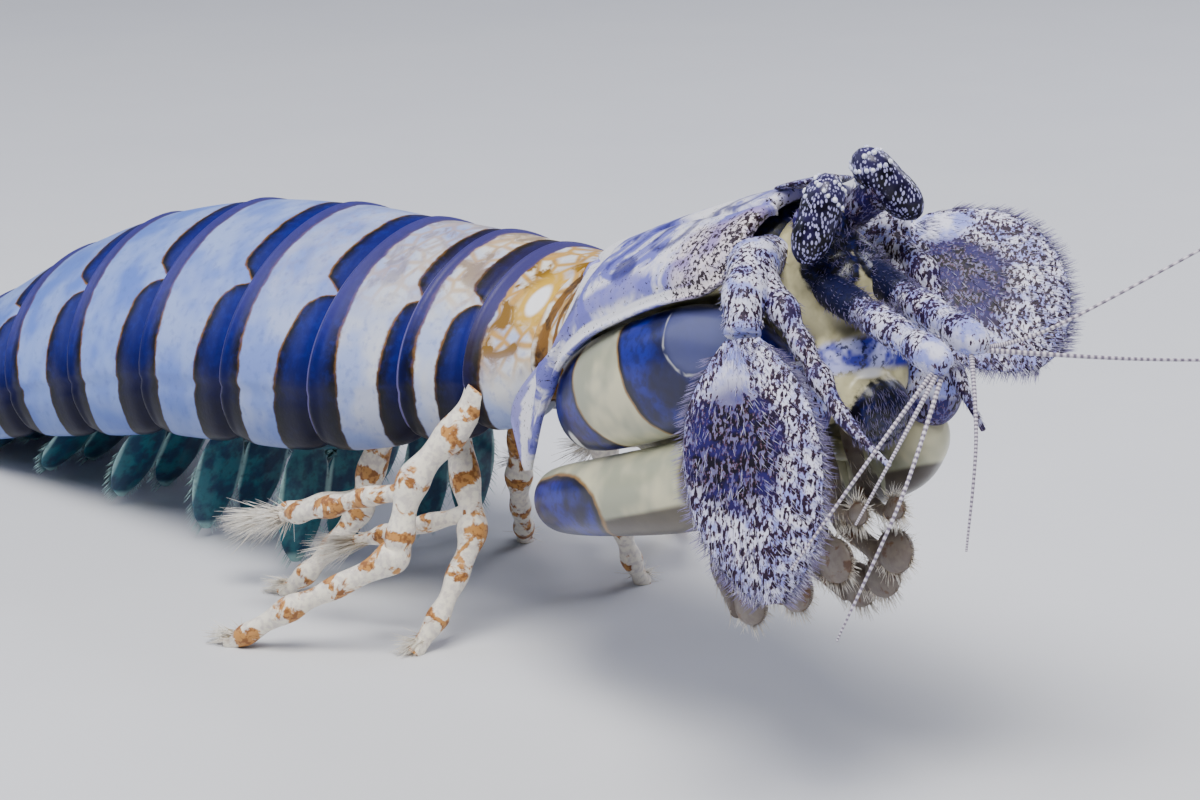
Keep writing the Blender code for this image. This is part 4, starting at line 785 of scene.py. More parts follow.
def head():
    """Face, mouth frame, labrum and cheeks grown together, with velvet patches of short bristles."""
    rows = smooth_path([(x, 0.0, z, wide, high) for x, wide, z, high in FACE_STATIONS], 30)
    layers = [body(oval_grid(rows, (0, 1, 0), 48), HEAD)]
    layers += [body(ball_grid(centre, radii), HEAD) for centre, radii in HEAD_ROUNDS]
    points, faces = blended(layers, HEAD_VOXEL, 6)
    at = moved(points, HEAD.inverted())
    mark = np.full(len(at), FAR)
    for centre, radius in VELVET:
        mark = np.minimum(mark, np.linalg.norm(at - centre, axis=1) - radius)
    glassy = hump(at[:, 2], -22.8, 2.6) * step(54.0, 58.0, at[:, 0])
    # A white patch below the mouth: a painted highlight.
    chin = np.hypot(at[:, 1] + 1.2, 2.4 * (at[:, 2] + 25.4))
    white = 0.7 * hump(chin, 0.0, 2.6) * step(58.5, 60.5, at[:, 0])
    layer = skin(points, faces, Matrix.Identity(4), mark=mark, glassy=glassy, white=white)
    make("face", [(layer, FACE)], ("head",))
    normal = unit(at - np.array((55.0, 0.0, -16.0)))
    furry = np.flatnonzero((mark < -0.4) & (at[:, 0] > 55.0))
    picked = chance.choice(furry, FACE_HAIRS)
    ways = normal[picked] + chance.normal(0.0, 0.35, (FACE_HAIRS, 3)) + (0, 0, -0.6)
    hair = bristles(at[picked], ways, chance.uniform(0.6, 1.3, FACE_HAIRS), HEAD, 0.05)
    make("face_bristles", [(hair, DARK_BRISTLE)])


# Each eye: upper and lower end of the cornea, and the foot of its stalk.
EYE_ENDS = {"r": ((64.2, -4.3, -0.6), (60.8, -7.6, -9.4)), "l": ((62.2, 2.3, 2.4), (62.4, 8.6, -5.2))}
EYE_PROFILE = ((-0.10, 0.9), (0.0, 2.0), (0.16, 2.75), (0.34, 2.85), (0.5, 2.76), (0.66, 2.8), (0.84, 2.6),
               (1.0, 1.9), (1.10, 0.8))
EYE_STALK_BASE = {"r": (54.4, -2.6, -5.0), "l": (54.6, 2.6, -4.4)}
# White beads on the cornea's upper end, painted highlights: how many and how big.
HIGHLIGHT_BEAD_COUNT = 30
HIGHLIGHT_BEAD_RADIUS = 0.38


def eye(tag):
    """Long two-lobed cornea on its stalk, with milky beads on its upper end that are painted highlights."""
    top, bottom = (np.array(point) for point in EYE_ENDS[tag])
    t, radius = smooth_path(EYE_PROFILE, 60).T
    rows = np.column_stack([top + (bottom - top) * t[:, None], 0.94 * radius, radius])
    grid = oval_grid(rows, (0, 1, 0.3), 48)
    pale = step(0.30, 0.10, t) + 0.5 * hump(t, 0.5, 0.07)
    layers = [(body(grid, HEAD, pale=pale[:, None]), CORNEA)]
    centre = rows[:, :3]
    for number in range(HIGHLIGHT_BEAD_COUNT):
        row = int(5 + 16 * number / HIGHLIGHT_BEAD_COUNT)
        column = int((number * 0.381966 * 48 * 1.7) % 48)
        place = centre[row] + (grid[row, column] - centre[row]) * 0.98
        radius = HIGHLIGHT_BEAD_RADIUS * chance.uniform(0.75, 1.1)
        layers.append((body(ball_grid(place, (radius,) * 3, 8, 10), HEAD), HIGHLIGHT_BEAD))
    make("cornea_" + tag, layers, ("eye_" + tag,))
    middle, base = (top + bottom) / 2, np.array(EYE_STALK_BASE[tag])
    bend = base + (middle - base) * 0.45
    stalk = smooth_path([(*base, 2.1, 2.1), (*bend, 2.25, 2.5), (*middle, 2.35, 3.2)], 26)
    grid = oval_grid(stalk, (0, 0, 1), 32)
    layer = body(grid, HEAD, dark=0.8, velvet=0.35)
    make("stalk_" + tag, [(layer, SPECKLED)], ("eyestalk_" + tag,))
    hair = nap(grid, 260, middle - base, HEAD, (0.6, 1.4), (0.05, 0.7))
    make("stalk_bristles_" + tag, [(hair, DARK_BRISTLE)])


ANTENNULE_ROOT = {"r": (56.0, -3.4, -12.6), "l": (56.0, 3.4, -11.4)}
ANTENNULE_END = {"r": (82.0, -3.2, -26.6), "l": (79.0, 4.4, -24.6)}
LASHES = {
    "r": (((80.0, -15.0, -37.5), (75.0, -25.0, -48.8)), ((82.5, -12.0, -36.5), (81.0, -18.5, -44.7)),
          ((82.5, -12.5, -42.5), (78.0, -22.0, -58.2))),
    "l": (((80.6, 0.6, -37.0), (79.5, -2.7, -50.0)), ((84.5, 24.0, -29.6), (90.0, 46.0, -33.0)),
          ((82.0, 15.5, -23.6), (92.0, 46.0, -12.5))),
}
LASH_RADIUS = 0.36
LASH_TIP = 0.14
ANTENNULE_PROFILE = ((0.0, 2.2), (0.10, 2.35), (0.30, 2.25), (0.36, 1.9), (0.40, 1.65), (0.44, 1.95),
                     (0.50, 2.2), (0.66, 2.15), (0.71, 1.9), (0.74, 1.6), (0.77, 1.9), (0.83, 2.25),
                     (0.94, 2.15), (1.0, 1.7), (1.04, 0.9))


def antennule(tag):
    """Three-jointed peduncle with three ringed lashes."""
    root, end = np.array(ANTENNULE_ROOT[tag]), np.array(ANTENNULE_END[tag])
    t, radius = smooth_path(ANTENNULE_PROFILE, 80).T
    rows = np.column_stack([root + (end - root) * t[:, None], radius, radius])
    white = (hump(t, 0.97, 0.06) + 0.5 * hump(t, 0.74, 0.03))[:, None]
    grid = oval_grid(rows, (0, 1, 0), 32)
    layers = [(body(grid, HEAD, dark=0.15, white=white, velvet=step(0.42, 0.30, t)[:, None]), SPECKLED)]
    hair = [(nap(grid, 700, end - root, HEAD, (0.6, 1.3), (0.06, 0.42)), DARK_BRISTLE),
            (nap(grid, 260, end - root, HEAD, (0.5, 1.0), (0.42, 0.92)), LAVENDER_BRISTLE)]
    make("antennule_bristles_" + tag, hair)
    for number, (middle, tip) in enumerate(LASHES[tag]):
        start = end + np.array((-0.8, 0.7 * (number - 1), -0.7))
        path = smooth_path([start, middle, tip], 220)
        t = np.linspace(0.0, 1.0, len(path))
        ring = 0.5 + 0.5 * np.sin(np.arange(len(path)) * math.tau / 4.0)
        radius = (LASH_RADIUS + (LASH_TIP - LASH_RADIUS) * t ** 0.8) * (1.0 + 0.05 * ring)
        rows = np.column_stack([path, radius, radius])
        layers.append((body(oval_grid(rows, (0.2, 0.9, 0.3), 8), HEAD, ring=ring[:, None]), LASH))
    make("antennule_feeler_" + tag, layers, ("antennule_" + tag,))


# Antenna from the head outwards: x, y, z, radius along the base and along the inner branch.
ANTENNA_BASE = {
    "r": ((50.5, -7.0, -8.0, 3.0), (54.0, -11.5, -9.0, 3.3),
          (57.6, -15.6, -13.5, 2.9), (58.7, -17.4, -18.2, 2.3)),
    "l": ((50.5, 7.0, -7.0, 3.0), (52.2, 10.4, -6.2, 3.0), (54.2, 12.9, -6.2, 2.6)),
}
ANTENNA_BRANCH = {
    "r": ((56.0, -11.6, -10.5, 1.8), (60.5, -11.9, -16.0, 1.9), (63.0, -11.4, -21.0, 1.4),
          (65.0, -10.8, -25.5, 1.5), (68.0, -10.0, -31.2, 0.9), (74.0, -8.3, -38.0, 0.3)),
    "l": ((53.8, 10.4, -8.0, 1.8), (58.5, 11.0, -13.0, 1.9), (60.5, 11.0, -18.0, 1.4),
          (62.0, 10.8, -22.6, 1.5), (64.0, 10.4, -28.6, 0.9), (68.0, 10.0, -35.0, 0.3)),
}
SCALE_ROOT = {"r": (58.9, -17.7, -18.8), "l": (54.4, 13.2, -6.2)}
SCALE_TIP = {"r": (57.0, -18.6, -52.6), "l": (69.6, 20.7, -27.4)}
SCALE_FACE = {"r": (0.72, -0.69, 0.05), "l": (0.80, -0.45, 0.42)}
SCALE_HALF_WIDTH = {"r": 9.0, "l": 10.9}
SCALE_PROFILE = ((0.0, 0.26), (0.08, 0.52), (0.22, 0.84), (0.4, 1.0), (0.6, 0.98), (0.78, 0.80),
                 (0.92, 0.48), (1.0, 0.16))
# Dark patch and white spot on each blade: part of its length, part of its half width, radii.
SCALE_PATCH = {"r": (0.40, -0.25, 0.24, 0.75), "l": (0.42, -0.1, 0.26, 0.55)}
SCALE_SPOT = {"r": (0.14, -0.25, 0.11, 0.35), "l": (0.10, 0.35, 0.12, 0.45)}


# Bristles on each blade: round its edge, and on its faces.
FRINGE_HAIRS, DARK_HAIRS, LAVENDER_HAIRS = 620, 2300, 2000


def limb(rows, count, sides, across, swell=0.10):
    """Grid of a jointed limb from x, y, z and radius, a little thicker at each joint."""
    rows = np.array(rows, float)
    at = np.linspace(0.0, len(rows) - 1.0, count)
    path = smooth_rows(rows, at)
    radius = path[:, 3] * (1.0 + swell * np.cos(math.tau * at))
    joint = hump(np.abs(at - np.round(at)), 0.0, 0.12)
    return oval_grid(np.column_stack([path[:, :3], radius, radius]), across, sides), joint


def antenna(tag):
    """Thick base of the antenna with its inner branch."""
    base, joint = limb(ANTENNA_BASE[tag], 44, 32, (0, 0, 1), 0.05)
    branch, _ = limb(ANTENNA_BRANCH[tag], 90, 24, (0, 1, 0), 0.14)
    layers = [(body(base, HEAD, dark=0.1, white=joint[:, None] * 0.5), SPECKLED),
              (body(branch, HEAD, dark=0.3), SPECKLED)]
    make("antenna_stem_" + tag, layers, ("antenna_" + tag,))
    way = np.array(ANTENNA_BASE[tag][-1][:3]) - ANTENNA_BASE[tag][0][:3]
    inner_way = np.array(ANTENNA_BRANCH[tag][-1][:3]) - ANTENNA_BRANCH[tag][0][:3]
    hair = [(nap(base, 420, way, HEAD), LAVENDER_BRISTLE), (nap(base, 160, way, HEAD), DARK_BRISTLE),
            (nap(branch, 260, inner_way, HEAD), DARK_BRISTLE)]
    make("antenna_bristles_" + tag, hair)


def blade_frame(tag):
    """Root, tip and directions of a feeler blade: along it, across it and out of its face."""
    root, tip, face = (np.array(v[tag]) for v in (SCALE_ROOT, SCALE_TIP, SCALE_FACE))
    along = unit(tip - root)
    across = unit(np.cross(face, along))
    out = np.cross(along, across)
    return root, tip, along, across, out * np.sign(out @ face)


def antennal_scale(tag):
    """Broad thin blade with a raised midrib and rim, and a fringe of bristles along its edge."""
    root, tip, along, across, out = blade_frame(tag)
    t, part = smooth_path(SCALE_PROFILE, 70).T
    centre = root + (tip - root) * t[:, None] + out * (1.6 * np.sin(math.pi * t))[:, None]
    half_width = SCALE_HALF_WIDTH[tag] * part
    rows = np.column_stack([centre, half_width, 0.62 * (0.5 + 0.5 * part)])
    grid = oval_grid(rows, across, 64, 0.22)
    wide = ((grid - centre[:, None]) @ across) / np.maximum(half_width, 0.1)[:, None]
    patch, spot = SCALE_PATCH[tag], SCALE_SPOT[tag]
    reach = np.hypot((t[:, None] - patch[0]) / patch[2], (wide - patch[1]) / patch[3])
    near = np.hypot((t[:, None] - spot[0]) / spot[2], (wide - spot[1]) / spot[3])
    layer = body(grid, HEAD, dark=step(1.25, 0.75, reach), white=step(1.2, 0.8, near))
    make("antennal_blade_" + tag, [(layer, SPECKLED)], ("antennal_scale_" + tag,))
    place = chance.uniform(0.10, 1.0, FRINGE_HAIRS)
    side = np.where(chance.uniform(size=FRINGE_HAIRS) < 0.5, -1.0, 1.0)
    at = smooth_rows(np.column_stack([centre, half_width]), place * 69.0)
    edge = at[:, :3] + across * (side * at[:, 3] * 0.97)[:, None]
    lean = 0.25 + 1.4 * np.clip(place - 0.55, 0.0, 1.0)
    way = across * side[:, None] + along * lean[:, None] + chance.normal(0.0, 0.10, edge.shape)
    fringe = bristles(edge, way, chance.uniform(1.2, 2.4, FRINGE_HAIRS), HEAD, 0.05,
                      uv=np.column_stack([place, 0.5 + 0.45 * side]))
    hair = [(fringe, DARK_BRISTLE)]
    for material, share in ((DARK_BRISTLE, DARK_HAIRS), (LAVENDER_BRISTLE, LAVENDER_HAIRS)):
        hair.append((nap(grid, share, along + 0.4 * across, HEAD, (0.8, 1.7)), material))
    make("blade_bristles_" + tag, hair)


# Folded claw in the head's frame, for the left side: x, y, z, half thickness, half depth.
MERUS = ((0.6, 14.4, -21.9, 2.4, 3.2), (5.0, 15.3, -21.4, 4.0, 6.0), (14.0, 16.1, -20.6, 4.9, 7.8),
         (28.0, 15.5, -20.2, 5.0, 8.4), (40.0, 13.6, -19.9, 4.8, 8.0), (48.0, 11.9, -20.9, 4.1, 6.4),
         (53.0, 10.9, -22.6, 3.2, 4.4), (55.2, 10.5, -23.6, 2.2, 2.8))
# Edges of the blue patches on the merus, as lines of x, z.
MERUS_REAR_EDGE = ((21.0, -29.5), (16.5, -25.0), (14.6, -21.0), (14.0, -17.0), (15.5, -13.5))
MERUS_FRONT_EDGE = ((32.5, -28.5), (30.3, -24.4), (28.4, -18.5), (26.6, -13.6), (26.0, -11.5))
PROPODUS = ((-8.2, 16.4, -33.0, 1.6, 1.8), (-6.2, 16.6, -33.3, 3.4, 3.9), (-1.0, 16.8, -33.8, 4.6, 5.0),
            (13.0, 16.1, -34.7, 4.9, 5.7), (30.0, 14.1, -35.4, 4.8, 6.2), (44.0, 11.9, -35.0, 4.4, 6.0),
            (52.0, 10.4, -34.0, 3.7, 4.8), (55.8, 9.8, -33.4, 2.6, 3.2), (57.4, 9.6, -33.0, 1.1, 1.3))
CARPUS_CENTRE = (57.0, 10.0, -27.8)
CARPUS_RADII = (4.6, 4.2, 5.4)
ISCHIUM = ((12.0, 8.0, -25.0, 2.2, 3.0), (9.0, 12.0, -24.0, 2.4, 3.2), (7.0, 15.0, -22.6, 2.4, 3.4))
DACTYL = ((-3.4, 13.6, -33.4, 1.2, 2.0), (0.0, 11.2, -32.6, 1.4, 2.3), (12.0, 9.9, -32.4, 1.35, 2.2),
          (26.0, 8.6, -32.9, 1.25, 2.0), (38.0, 7.4, -33.9, 1.1, 1.5), (46.5, 6.6, -35.6, 0.5, 0.6))
TOOTH_COUNT = 9
TOOTH_LENGTH = 6.6
TOOTH_RADIUS = 0.85


def side_rows(rows, side, count):
    """A smooth path given for the left side, on its own side."""
    mirrored = np.array(rows, float)
    mirrored[:, 1] *= side
    return smooth_path(mirrored, count)


def away_from_line(x, z, points):
    """Signed distance in millimetres from a line of x, z points: positive ahead of it."""
    line = smooth_path(points, 40)
    order = np.argsort(line[:, 1])
    return x - np.interp(z, line[order, 1], line[order, 0])


def claw(tag, side):
    """Folded striking claw: merus, carpus, propodus, and the dactyl with its row of teeth."""
    grid = oval_grid(side_rows(MERUS, side, 90), (0, 1, 0), 56)
    x, z = grid[..., 0], grid[..., 2]
    rear, front = away_from_line(x, z, MERUS_REAR_EDGE), away_from_line(x, z, MERUS_FRONT_EDGE)
    mark = np.where(x < 21.0, rear, -front)
    outer = np.where(side * grid[..., 1] > 12.0, 1.0, 0.0)
    saddle = np.hypot(x - 45.0, (z + 14.0) * 0.9)
    white = hump(np.hypot(x - 7.5, z + 26.0), 0.0, 1.6) * outer + 0.5 * hump(saddle, 7.0, 0.5)
    grey = step(7.4, 6.0, saddle) * 0.9
    ischium = oval_grid(side_rows(ISCHIUM, side, 16), (1, 0, 0), 24)
    make("claw_merus_" + tag, [(body(grid, HEAD, mark=mark, white=white, grey=grey), CLAW),
                               (body(ischium, HEAD, mark=6.0), CLAW)], ("merus_" + tag,))
    grid = oval_grid(side_rows(PROPODUS, side, 90), (0, 1, 0), 52)
    x, z = grid[..., 0], grid[..., 2]
    patch = np.hypot((x - 1.5) * 0.55, (z + 36.4) * 1.25) - 7.6
    brown = np.maximum(step(-37.2, -38.6, z) * step(2.0, 10.0, x), step(34.0, 37.0, x) * step(44.0, 40.0, x))
    layer = body(grid, HEAD, mark=patch, brown=brown)
    make("claw_propodus_" + tag, [(layer, CLAW)], ("propodus_" + tag,))
    centre = (CARPUS_CENTRE[0], side * CARPUS_CENTRE[1], CARPUS_CENTRE[2])
    grid = ball_grid(centre, CARPUS_RADII, 40, 48)
    dark = step(3.6, 2.4, np.hypot(grid[..., 0] - 59.0, grid[..., 2] + 32.0))
    layer = body(grid, HEAD, dark=dark, white=0.2)
    make("claw_carpus_" + tag, [(layer, SPECKLED)], ("carpus_" + tag,))
    dactyl(tag, side)


def tooth_grid(root, tip, radius):
    """One curved conical tooth."""
    root, tip = np.array(root), np.array(tip)
    middle = (root + tip) / 2 + np.array((0.5, 0.0, 0.0))
    path = smooth_path([root, middle, tip], 12)
    taper = radius * (1.0 - np.linspace(0.0, 0.93, 12) ** 1.3)
    return oval_grid(np.column_stack([path, taper, taper]), (0, 1, 0.1), 12)


def dactyl(tag, side):
    """Last joint of the claw, with its row of long teeth."""
    path = side_rows(DACTYL, side, 80)
    layers = [(body(oval_grid(path, (0, 1, 0), 24), HEAD, mark=6.0), CLAW)]
    for number in range(TOOTH_COUNT):
        t = (number + 0.6) / TOOTH_COUNT
        x, y, z = path[int(t * 79), :3]
        length = TOOTH_LENGTH * (0.72 + 0.28 * math.sin(math.pi * t))
        grid = tooth_grid((x, y, z), (x + 1.8, y - side * 0.25, z - 0.6 - length), TOOTH_RADIUS)
        layers.append((body(grid, HEAD, mark=6.0), CLAW))
    make("claw_dactyl_" + tag, layers, ("dactyl_" + tag,))


# Maxillipeds between the claws, left side: joints with x, y, z, radius, then the flat hand.
MAXILLIPEDS = {
    "1": ((44.5, 3.4, -27.5, 1.2), (46.0, 3.3, -34.0, 1.1), (48.5, 3.0, -41.0, 1.0), (53.5, 2.8, -43.5, 0.8)),
    "3": ((36.0, 3.4, -28.5, 1.9), (37.5, 3.5, -36.0, 1.6), (39.5, 3.9, -43.5, 1.5), (47.0, 4.6, -49.0, 1.4)),
    "4": ((29.0, 3.4, -28.5, 1.9), (29.5, 3.6, -37.0, 1.6), (31.0, 5.2, -46.0, 1.5), (39.0, 6.8, -52.0, 1.4)),
    "5": ((22.0, 3.4, -28.5, 1.9), (21.5, 3.6, -37.0, 1.6), (22.0, 6.4, -46.5, 1.5), (29.5, 8.6, -53.0, 1.4)),
}
HAND_HAIRS, SLENDER_HAIRS = 150, 110
HAND_RADII = {"1": (2.2, 0.9, 1.5), "3": (4.2, 1.5, 3.0), "4": (4.2, 1.5, 3.0), "5": (4.0, 1.5, 2.9)}


def maxilliped(number, tag, side):
    """Slender folded leg with a flat round hand, fringed with bristles."""
    rows = [(x, side * y, z, radius) for x, y, z, radius in MAXILLIPEDS[number]]
    grid, joint = limb(rows, 64, 20, (0, 1, 0))
    radii = HAND_RADII[number]
    centre = np.array(rows[-1][:3]) + (0.8 * radii[0], 0.0, 0.5)
    hand = ball_grid(centre, radii, 18, 28)
    layers = [(body(grid, HEAD, dark=0.8 + 0.2 * joint[:, None]), LIMB), (body(hand, HEAD, dark=0.8), LIMB)]
    label = f"{number}_{tag}"
    make("maxilliped_limb_" + label, layers, ("maxilliped_" + label,))
    turn = chance.uniform(0.0, math.tau, HAND_HAIRS)
    rim = np.column_stack([np.cos(turn) * radii[0], 0.0 * turn, np.sin(turn) * radii[2]])
    limb_part = chance.integers(24, 64, SLENDER_HAIRS)
    on_limb = grid[limb_part, chance.integers(0, 20, SLENDER_HAIRS)]
    roots = np.concatenate([centre + rim * 0.95, on_limb])
    limb_way = np.tile((0.3, 0.15 * side, -0.9), (SLENDER_HAIRS, 1))
    ways = np.concatenate([rim / radii[0] + (0.3, 0.0, -0.3), limb_way])
    ways = ways + chance.normal(0.0, 0.18, ways.shape)
    hair = bristles(roots, ways, chance.uniform(1.2, 2.6, len(roots)), HEAD, 0.055)
    make("maxilliped_bristles_" + label, [(hair, PALE_BRISTLE)])


# Walking legs, right side, in the pose's frame: joints of the leg, then of its outer branch.
LEGS = {
    "1": (((39.5, -16.5, 40.0, 2.6), (37.5, -21.0, 34.0, 2.2), (34.2, -25.6, 27.0, 2.3),
           (34.0, -28.0, 19.0, 2.0), (33.2, -29.0, 15.6, 2.3), (27.0, -35.0, 10.6, 1.6),
           (21.5, -39.6, 6.8, 1.8), (15.5, -43.6, 2.0, 1.5), (12.8, -45.0, 0.0, 1.2)),
          ((34.4, -26.2, 25.6, 1.8), (26.5, -28.6, 23.4, 1.4), (19.5, -30.2, 20.6, 1.6),
           (12.0, -31.2, 18.0, 1.5), (8.5, -31.4, 16.8, 0.9))),
    "2": (((28.0, -13.0, 34.0, 2.5), (32.5, -14.5, 25.0, 2.1), (35.0, -15.2, 17.5, 2.1),
           (35.4, -18.5, 11.0, 1.6), (35.0, -22.0, 5.0, 1.6), (34.2, -26.0, 0.0, 1.3)),
          ((34.2, -15.0, 20.0, 1.6), (29.0, -19.0, 18.0, 1.3), (23.0, -23.0, 15.5, 1.4),
           (19.0, -25.5, 14.0, 0.8))),
    "3": (((12.0, -13.0, 31.0, 2.5), (9.0, -15.0, 21.0, 2.1), (7.0, -16.0, 14.5, 2.1),
           (3.5, -19.0, 8.0, 1.6), (0.5, -22.0, 3.4, 1.6), (-2.4, -24.6, 0.0, 1.3)),
          ((7.6, -15.8, 16.5, 1.6), (3.0, -20.0, 15.6, 1.3), (-2.0, -23.5, 13.5, 1.4),
           (-5.0, -25.5, 12.4, 0.8))),
}
LEFT_LEG_SHIFT = {"1": (-3.0, 2.0), "2": (-4.0, -3.0), "3": (3.0, -2.0)}
BRUSH_LENGTH = 9.5
BRUSH_HAIRS = 260


def leg_rows(rows, number, side):
    """The right leg's joints, or the left leg's: mirrored, its foot set a little otherwise."""
    top, moved = rows[0][2], []
    for x, y, z, radius in rows:
        lowered = (top - z) / top
        shift_x, shift_y = LEFT_LEG_SHIFT[number] if side > 0 else (0.0, 0.0)
        moved.append((x + shift_x * lowered, -side * y + shift_y * lowered, z, radius))
    return moved


def brush(tip, way, length, hairs, name, spread=0.22):
    """A soft brush of long fine bristles round the end of a branch."""
    tip, way = np.array(tip), unit(np.array(way))
    back = chance.uniform(0.0, 2.6, hairs)
    roots = tip - way * back[:, None] + chance.normal(0.0, 0.35, (hairs, 3))
    ways = way + chance.normal(0.0, spread, (hairs, 3))
    hair = bristles(roots, ways, length * chance.uniform(0.6, 1.0, hairs), BODY, 0.075, (0.0, 0.0, -0.05))
    make(name, [(hair, PALE_BRISTLE)])


FOOT_BRUSH_LENGTH, FOOT_BRUSH_HAIRS = 4.5, 150


def walking_leg(number, tag, side):
    """Slender leg with its outer branch and a brush of bristles."""
    main_rows, branch_rows = (leg_rows(rows, number, side) for rows in LEGS[number])
    main, joint = limb(main_rows, 130, 24, (0.3, 1, 0), 0.14)
    branch, outer_joint = limb(branch_rows, 70, 20, (0, 0, 1), 0.16)
    main[..., 2] = np.maximum(main[..., 2], 0.0)
    layers = [(body(main, BODY, joint=joint[:, None]), LIMB),
              (body(branch, BODY, joint=outer_joint[:, None]), LIMB)]
    label = f"{number}_{tag}"
    make("leg_" + label, layers, ("walking_leg_" + label,))
    tip, before = (np.array(row[:3]) for row in (branch_rows[-1], branch_rows[-2]))
    brush(tip, tip - before, BRUSH_LENGTH, BRUSH_HAIRS, "leg_brush_" + label)
    foot, shin = (np.array(row[:3]) for row in (main_rows[-1], main_rows[-2]))
    brush(foot + (0.0, 0.0, 1.4), (foot - shin) * (1.0, 1.0, 0.25), FOOT_BRUSH_LENGTH, FOOT_BRUSH_HAIRS,
          "foot_brush_" + label, 0.35)


# Pleopods: sweep back from straight down, length, and the gills' threads.
PLEOPOD_SWEEP = (8.0, 18.0, 32.0, 44.0, 47.0)
PLEOPOD_LENGTH = (25.0, 23.5, 22.0, 20.0, 13.5)
PLEOPOD_ACROSS = 11.5
LEAF_PROFILE = ((0.0, 0.5), (0.25, 0.92), (0.55, 1.0), (0.85, 0.66), (1.0, 0.2))
GILL_THREADS = 22
GILL_LENGTH = 8.0


def leaf(root, along, across, length, half_width):
    """A thin leaf with a pale rim. Returns its skin, its middle line and its half widths."""
    t, part = smooth_path(LEAF_PROFILE, 40).T
    centre = root + along * (length * t)[:, None]
    rows = np.column_stack([centre, half_width * part, np.full(len(t), 0.45)])
    grid = oval_grid(rows, across, 40, 0.15)
    wide = np.abs((grid - centre[:, None]) @ across) / half_width
    pale = step(0.72, 0.98, wide) + step(0.86, 1.0, t)[:, None]
    return body(grid, BODY, pale=pale), centre, half_width * part


LEAF_HAIRS = 90                 # bristles round a swimming leg's leaf


def pleopod(number, tag, side):
    """Swimming leg: a short stem, two fringed leaves and a bush of gill threads behind them."""
    index = 3 + number
    row = smooth_rows(TRUNK_STATIONS, np.array([index + 0.5]))[0]
    place = np.array(turned(row[:3], row[4], row[3]))
    root = moved((0.0, side * PLEOPOD_ACROSS, STERNUM_RECESS - row[6] + 1.2), place)
    sweep = math.radians(PLEOPOD_SWEEP[number - 1])
    along = np.array((-math.sin(sweep), side * 0.06, -math.cos(sweep)))
    across = place[:3, 1]
    rear = unit(np.cross(across, along))
    rear = -rear if rear[0] > 0.0 else rear
    middle, end = root + along * 3.0, root + along * 6.0
    stem = smooth_path([(*root, 4.6, 2.4), (*middle, 4.4, 2.2), (*end, 3.8, 1.4)], 18)
    layers = [(body(oval_grid(stem, across, 32), BODY, pale=0.3), SWIMMER)]
    length = PLEOPOD_LENGTH[number - 1] - 4.2
    roots, ways = [], []
    for way in (-1.0, 1.0):
        layer, centre, wide = leaf(root + along * 4.2 + across * side * 4.6 * way, along, across, length, 4.7)
        layers.append((layer, SWIMMER))
        at = chance.integers(12, 40, LEAF_HAIRS)
        hand = np.where(chance.uniform(size=LEAF_HAIRS) < 0.5, -1.0, 1.0)
        roots.append(centre[at] + across * (hand * wide[at] * 0.96)[:, None])
        ways.append(across * hand[:, None] + along * (0.5 + at[:, None] / 26.0))
    for _ in range(GILL_THREADS):
        start = root + along * chance.uniform(3.6, 7.5) + across * side * chance.uniform(-2.2, 3.4)
        bend = rear * chance.uniform(1.6, 2.4) + across * chance.uniform(-0.8, 0.8)
        end = start + along * GILL_LENGTH * chance.uniform(0.7, 1.0) + bend * 1.25
        path = smooth_path([start, (start + end) / 2 + bend * 0.6, end], 16)
        radius = np.linspace(0.34, 0.14, 16)
        grid = oval_grid(np.column_stack([path, radius, radius]), across, 6)
        layers.append((body(grid, BODY, pale=0.55), SWIMMER))
    label = f"{number}_{tag}"
    make("swimmer_" + label, layers, ("pleopod_" + label,))
    ways = np.concatenate(ways) + chance.normal(0.0, 0.1, (2 * LEAF_HAIRS, 3))
    lengths = chance.uniform(1.4, 2.4, 2 * LEAF_HAIRS)
    hair = bristles(np.concatenate(roots), ways, lengths, BODY, 0.05)
    make("swimmer_fringe_" + label, [(hair, SEA_BRISTLE)])


TELSON_ROOT = (-128.5, -9.0, 17.6)
TELSON_PITCH = 21.0
TAIL_YAW = 12.0
# Distance back, half width, middle height, half thickness.
TELSON_STATIONS = ((0.6, 14.5, -5.0, 3.8), (3.0, 17.6, -5.0, 4.0), (8.0, 19.6, -5.2, 3.7),
                   (14.0, 19.4, -5.9, 3.1), (20.0, 16.8, -7.0, 2.3), (24.0, 12.8, -7.8, 1.6),
                   (25.8, 8.0, -8.2, 1.0))
TELSON_SPINES = ((14.0, 18.6), (19.0, 16.4), (23.5, 11.8), (25.4, 6.0))
UROPOD_STEM = ((3.0, 12.0, 7.0, 3.0, 2.4), (-3.0, 19.0, 5.2, 3.2, 2.3), (-8.0, 23.5, 3.4, 2.8, 1.8))
UROPOD_OUTER = ((-5.0, 22.5, 3.2, 2.4, 1.4), (-12.0, 26.5, 2.4, 4.4, 1.3), (-20.0, 29.6, 1.6, 5.2, 1.1),
                (-25.0, 31.4, 1.2, 4.7, 0.9), (-31.0, 33.0, 0.8, 4.6, 0.8), (-36.0, 34.0, 0.5, 1.8, 0.5))
UROPOD_INNER = ((-5.0, 21.6, 2.6, 1.6, 1.0), (-12.0, 22.2, 1.9, 2.6, 0.8), (-20.0, 22.4, 1.3, 2.9, 0.7),
                (-27.0, 22.6, 0.9, 2.2, 0.6), (-30.0, 22.8, 0.7, 0.9, 0.4))
UROPOD_EDGE_SPINES = 8
FAN_HAIRS = 200                 # bristles round a blade of the tail fan


def tail_skin(grid, **fields):
    """A skin of the tail, whose lowest points lie on the floor."""
    grid = grid.copy()
    grid[..., 2] = np.maximum(grid[..., 2], 0.0)
    return body(grid, BODY, spot=NO_SPOT, **fields), SHELL


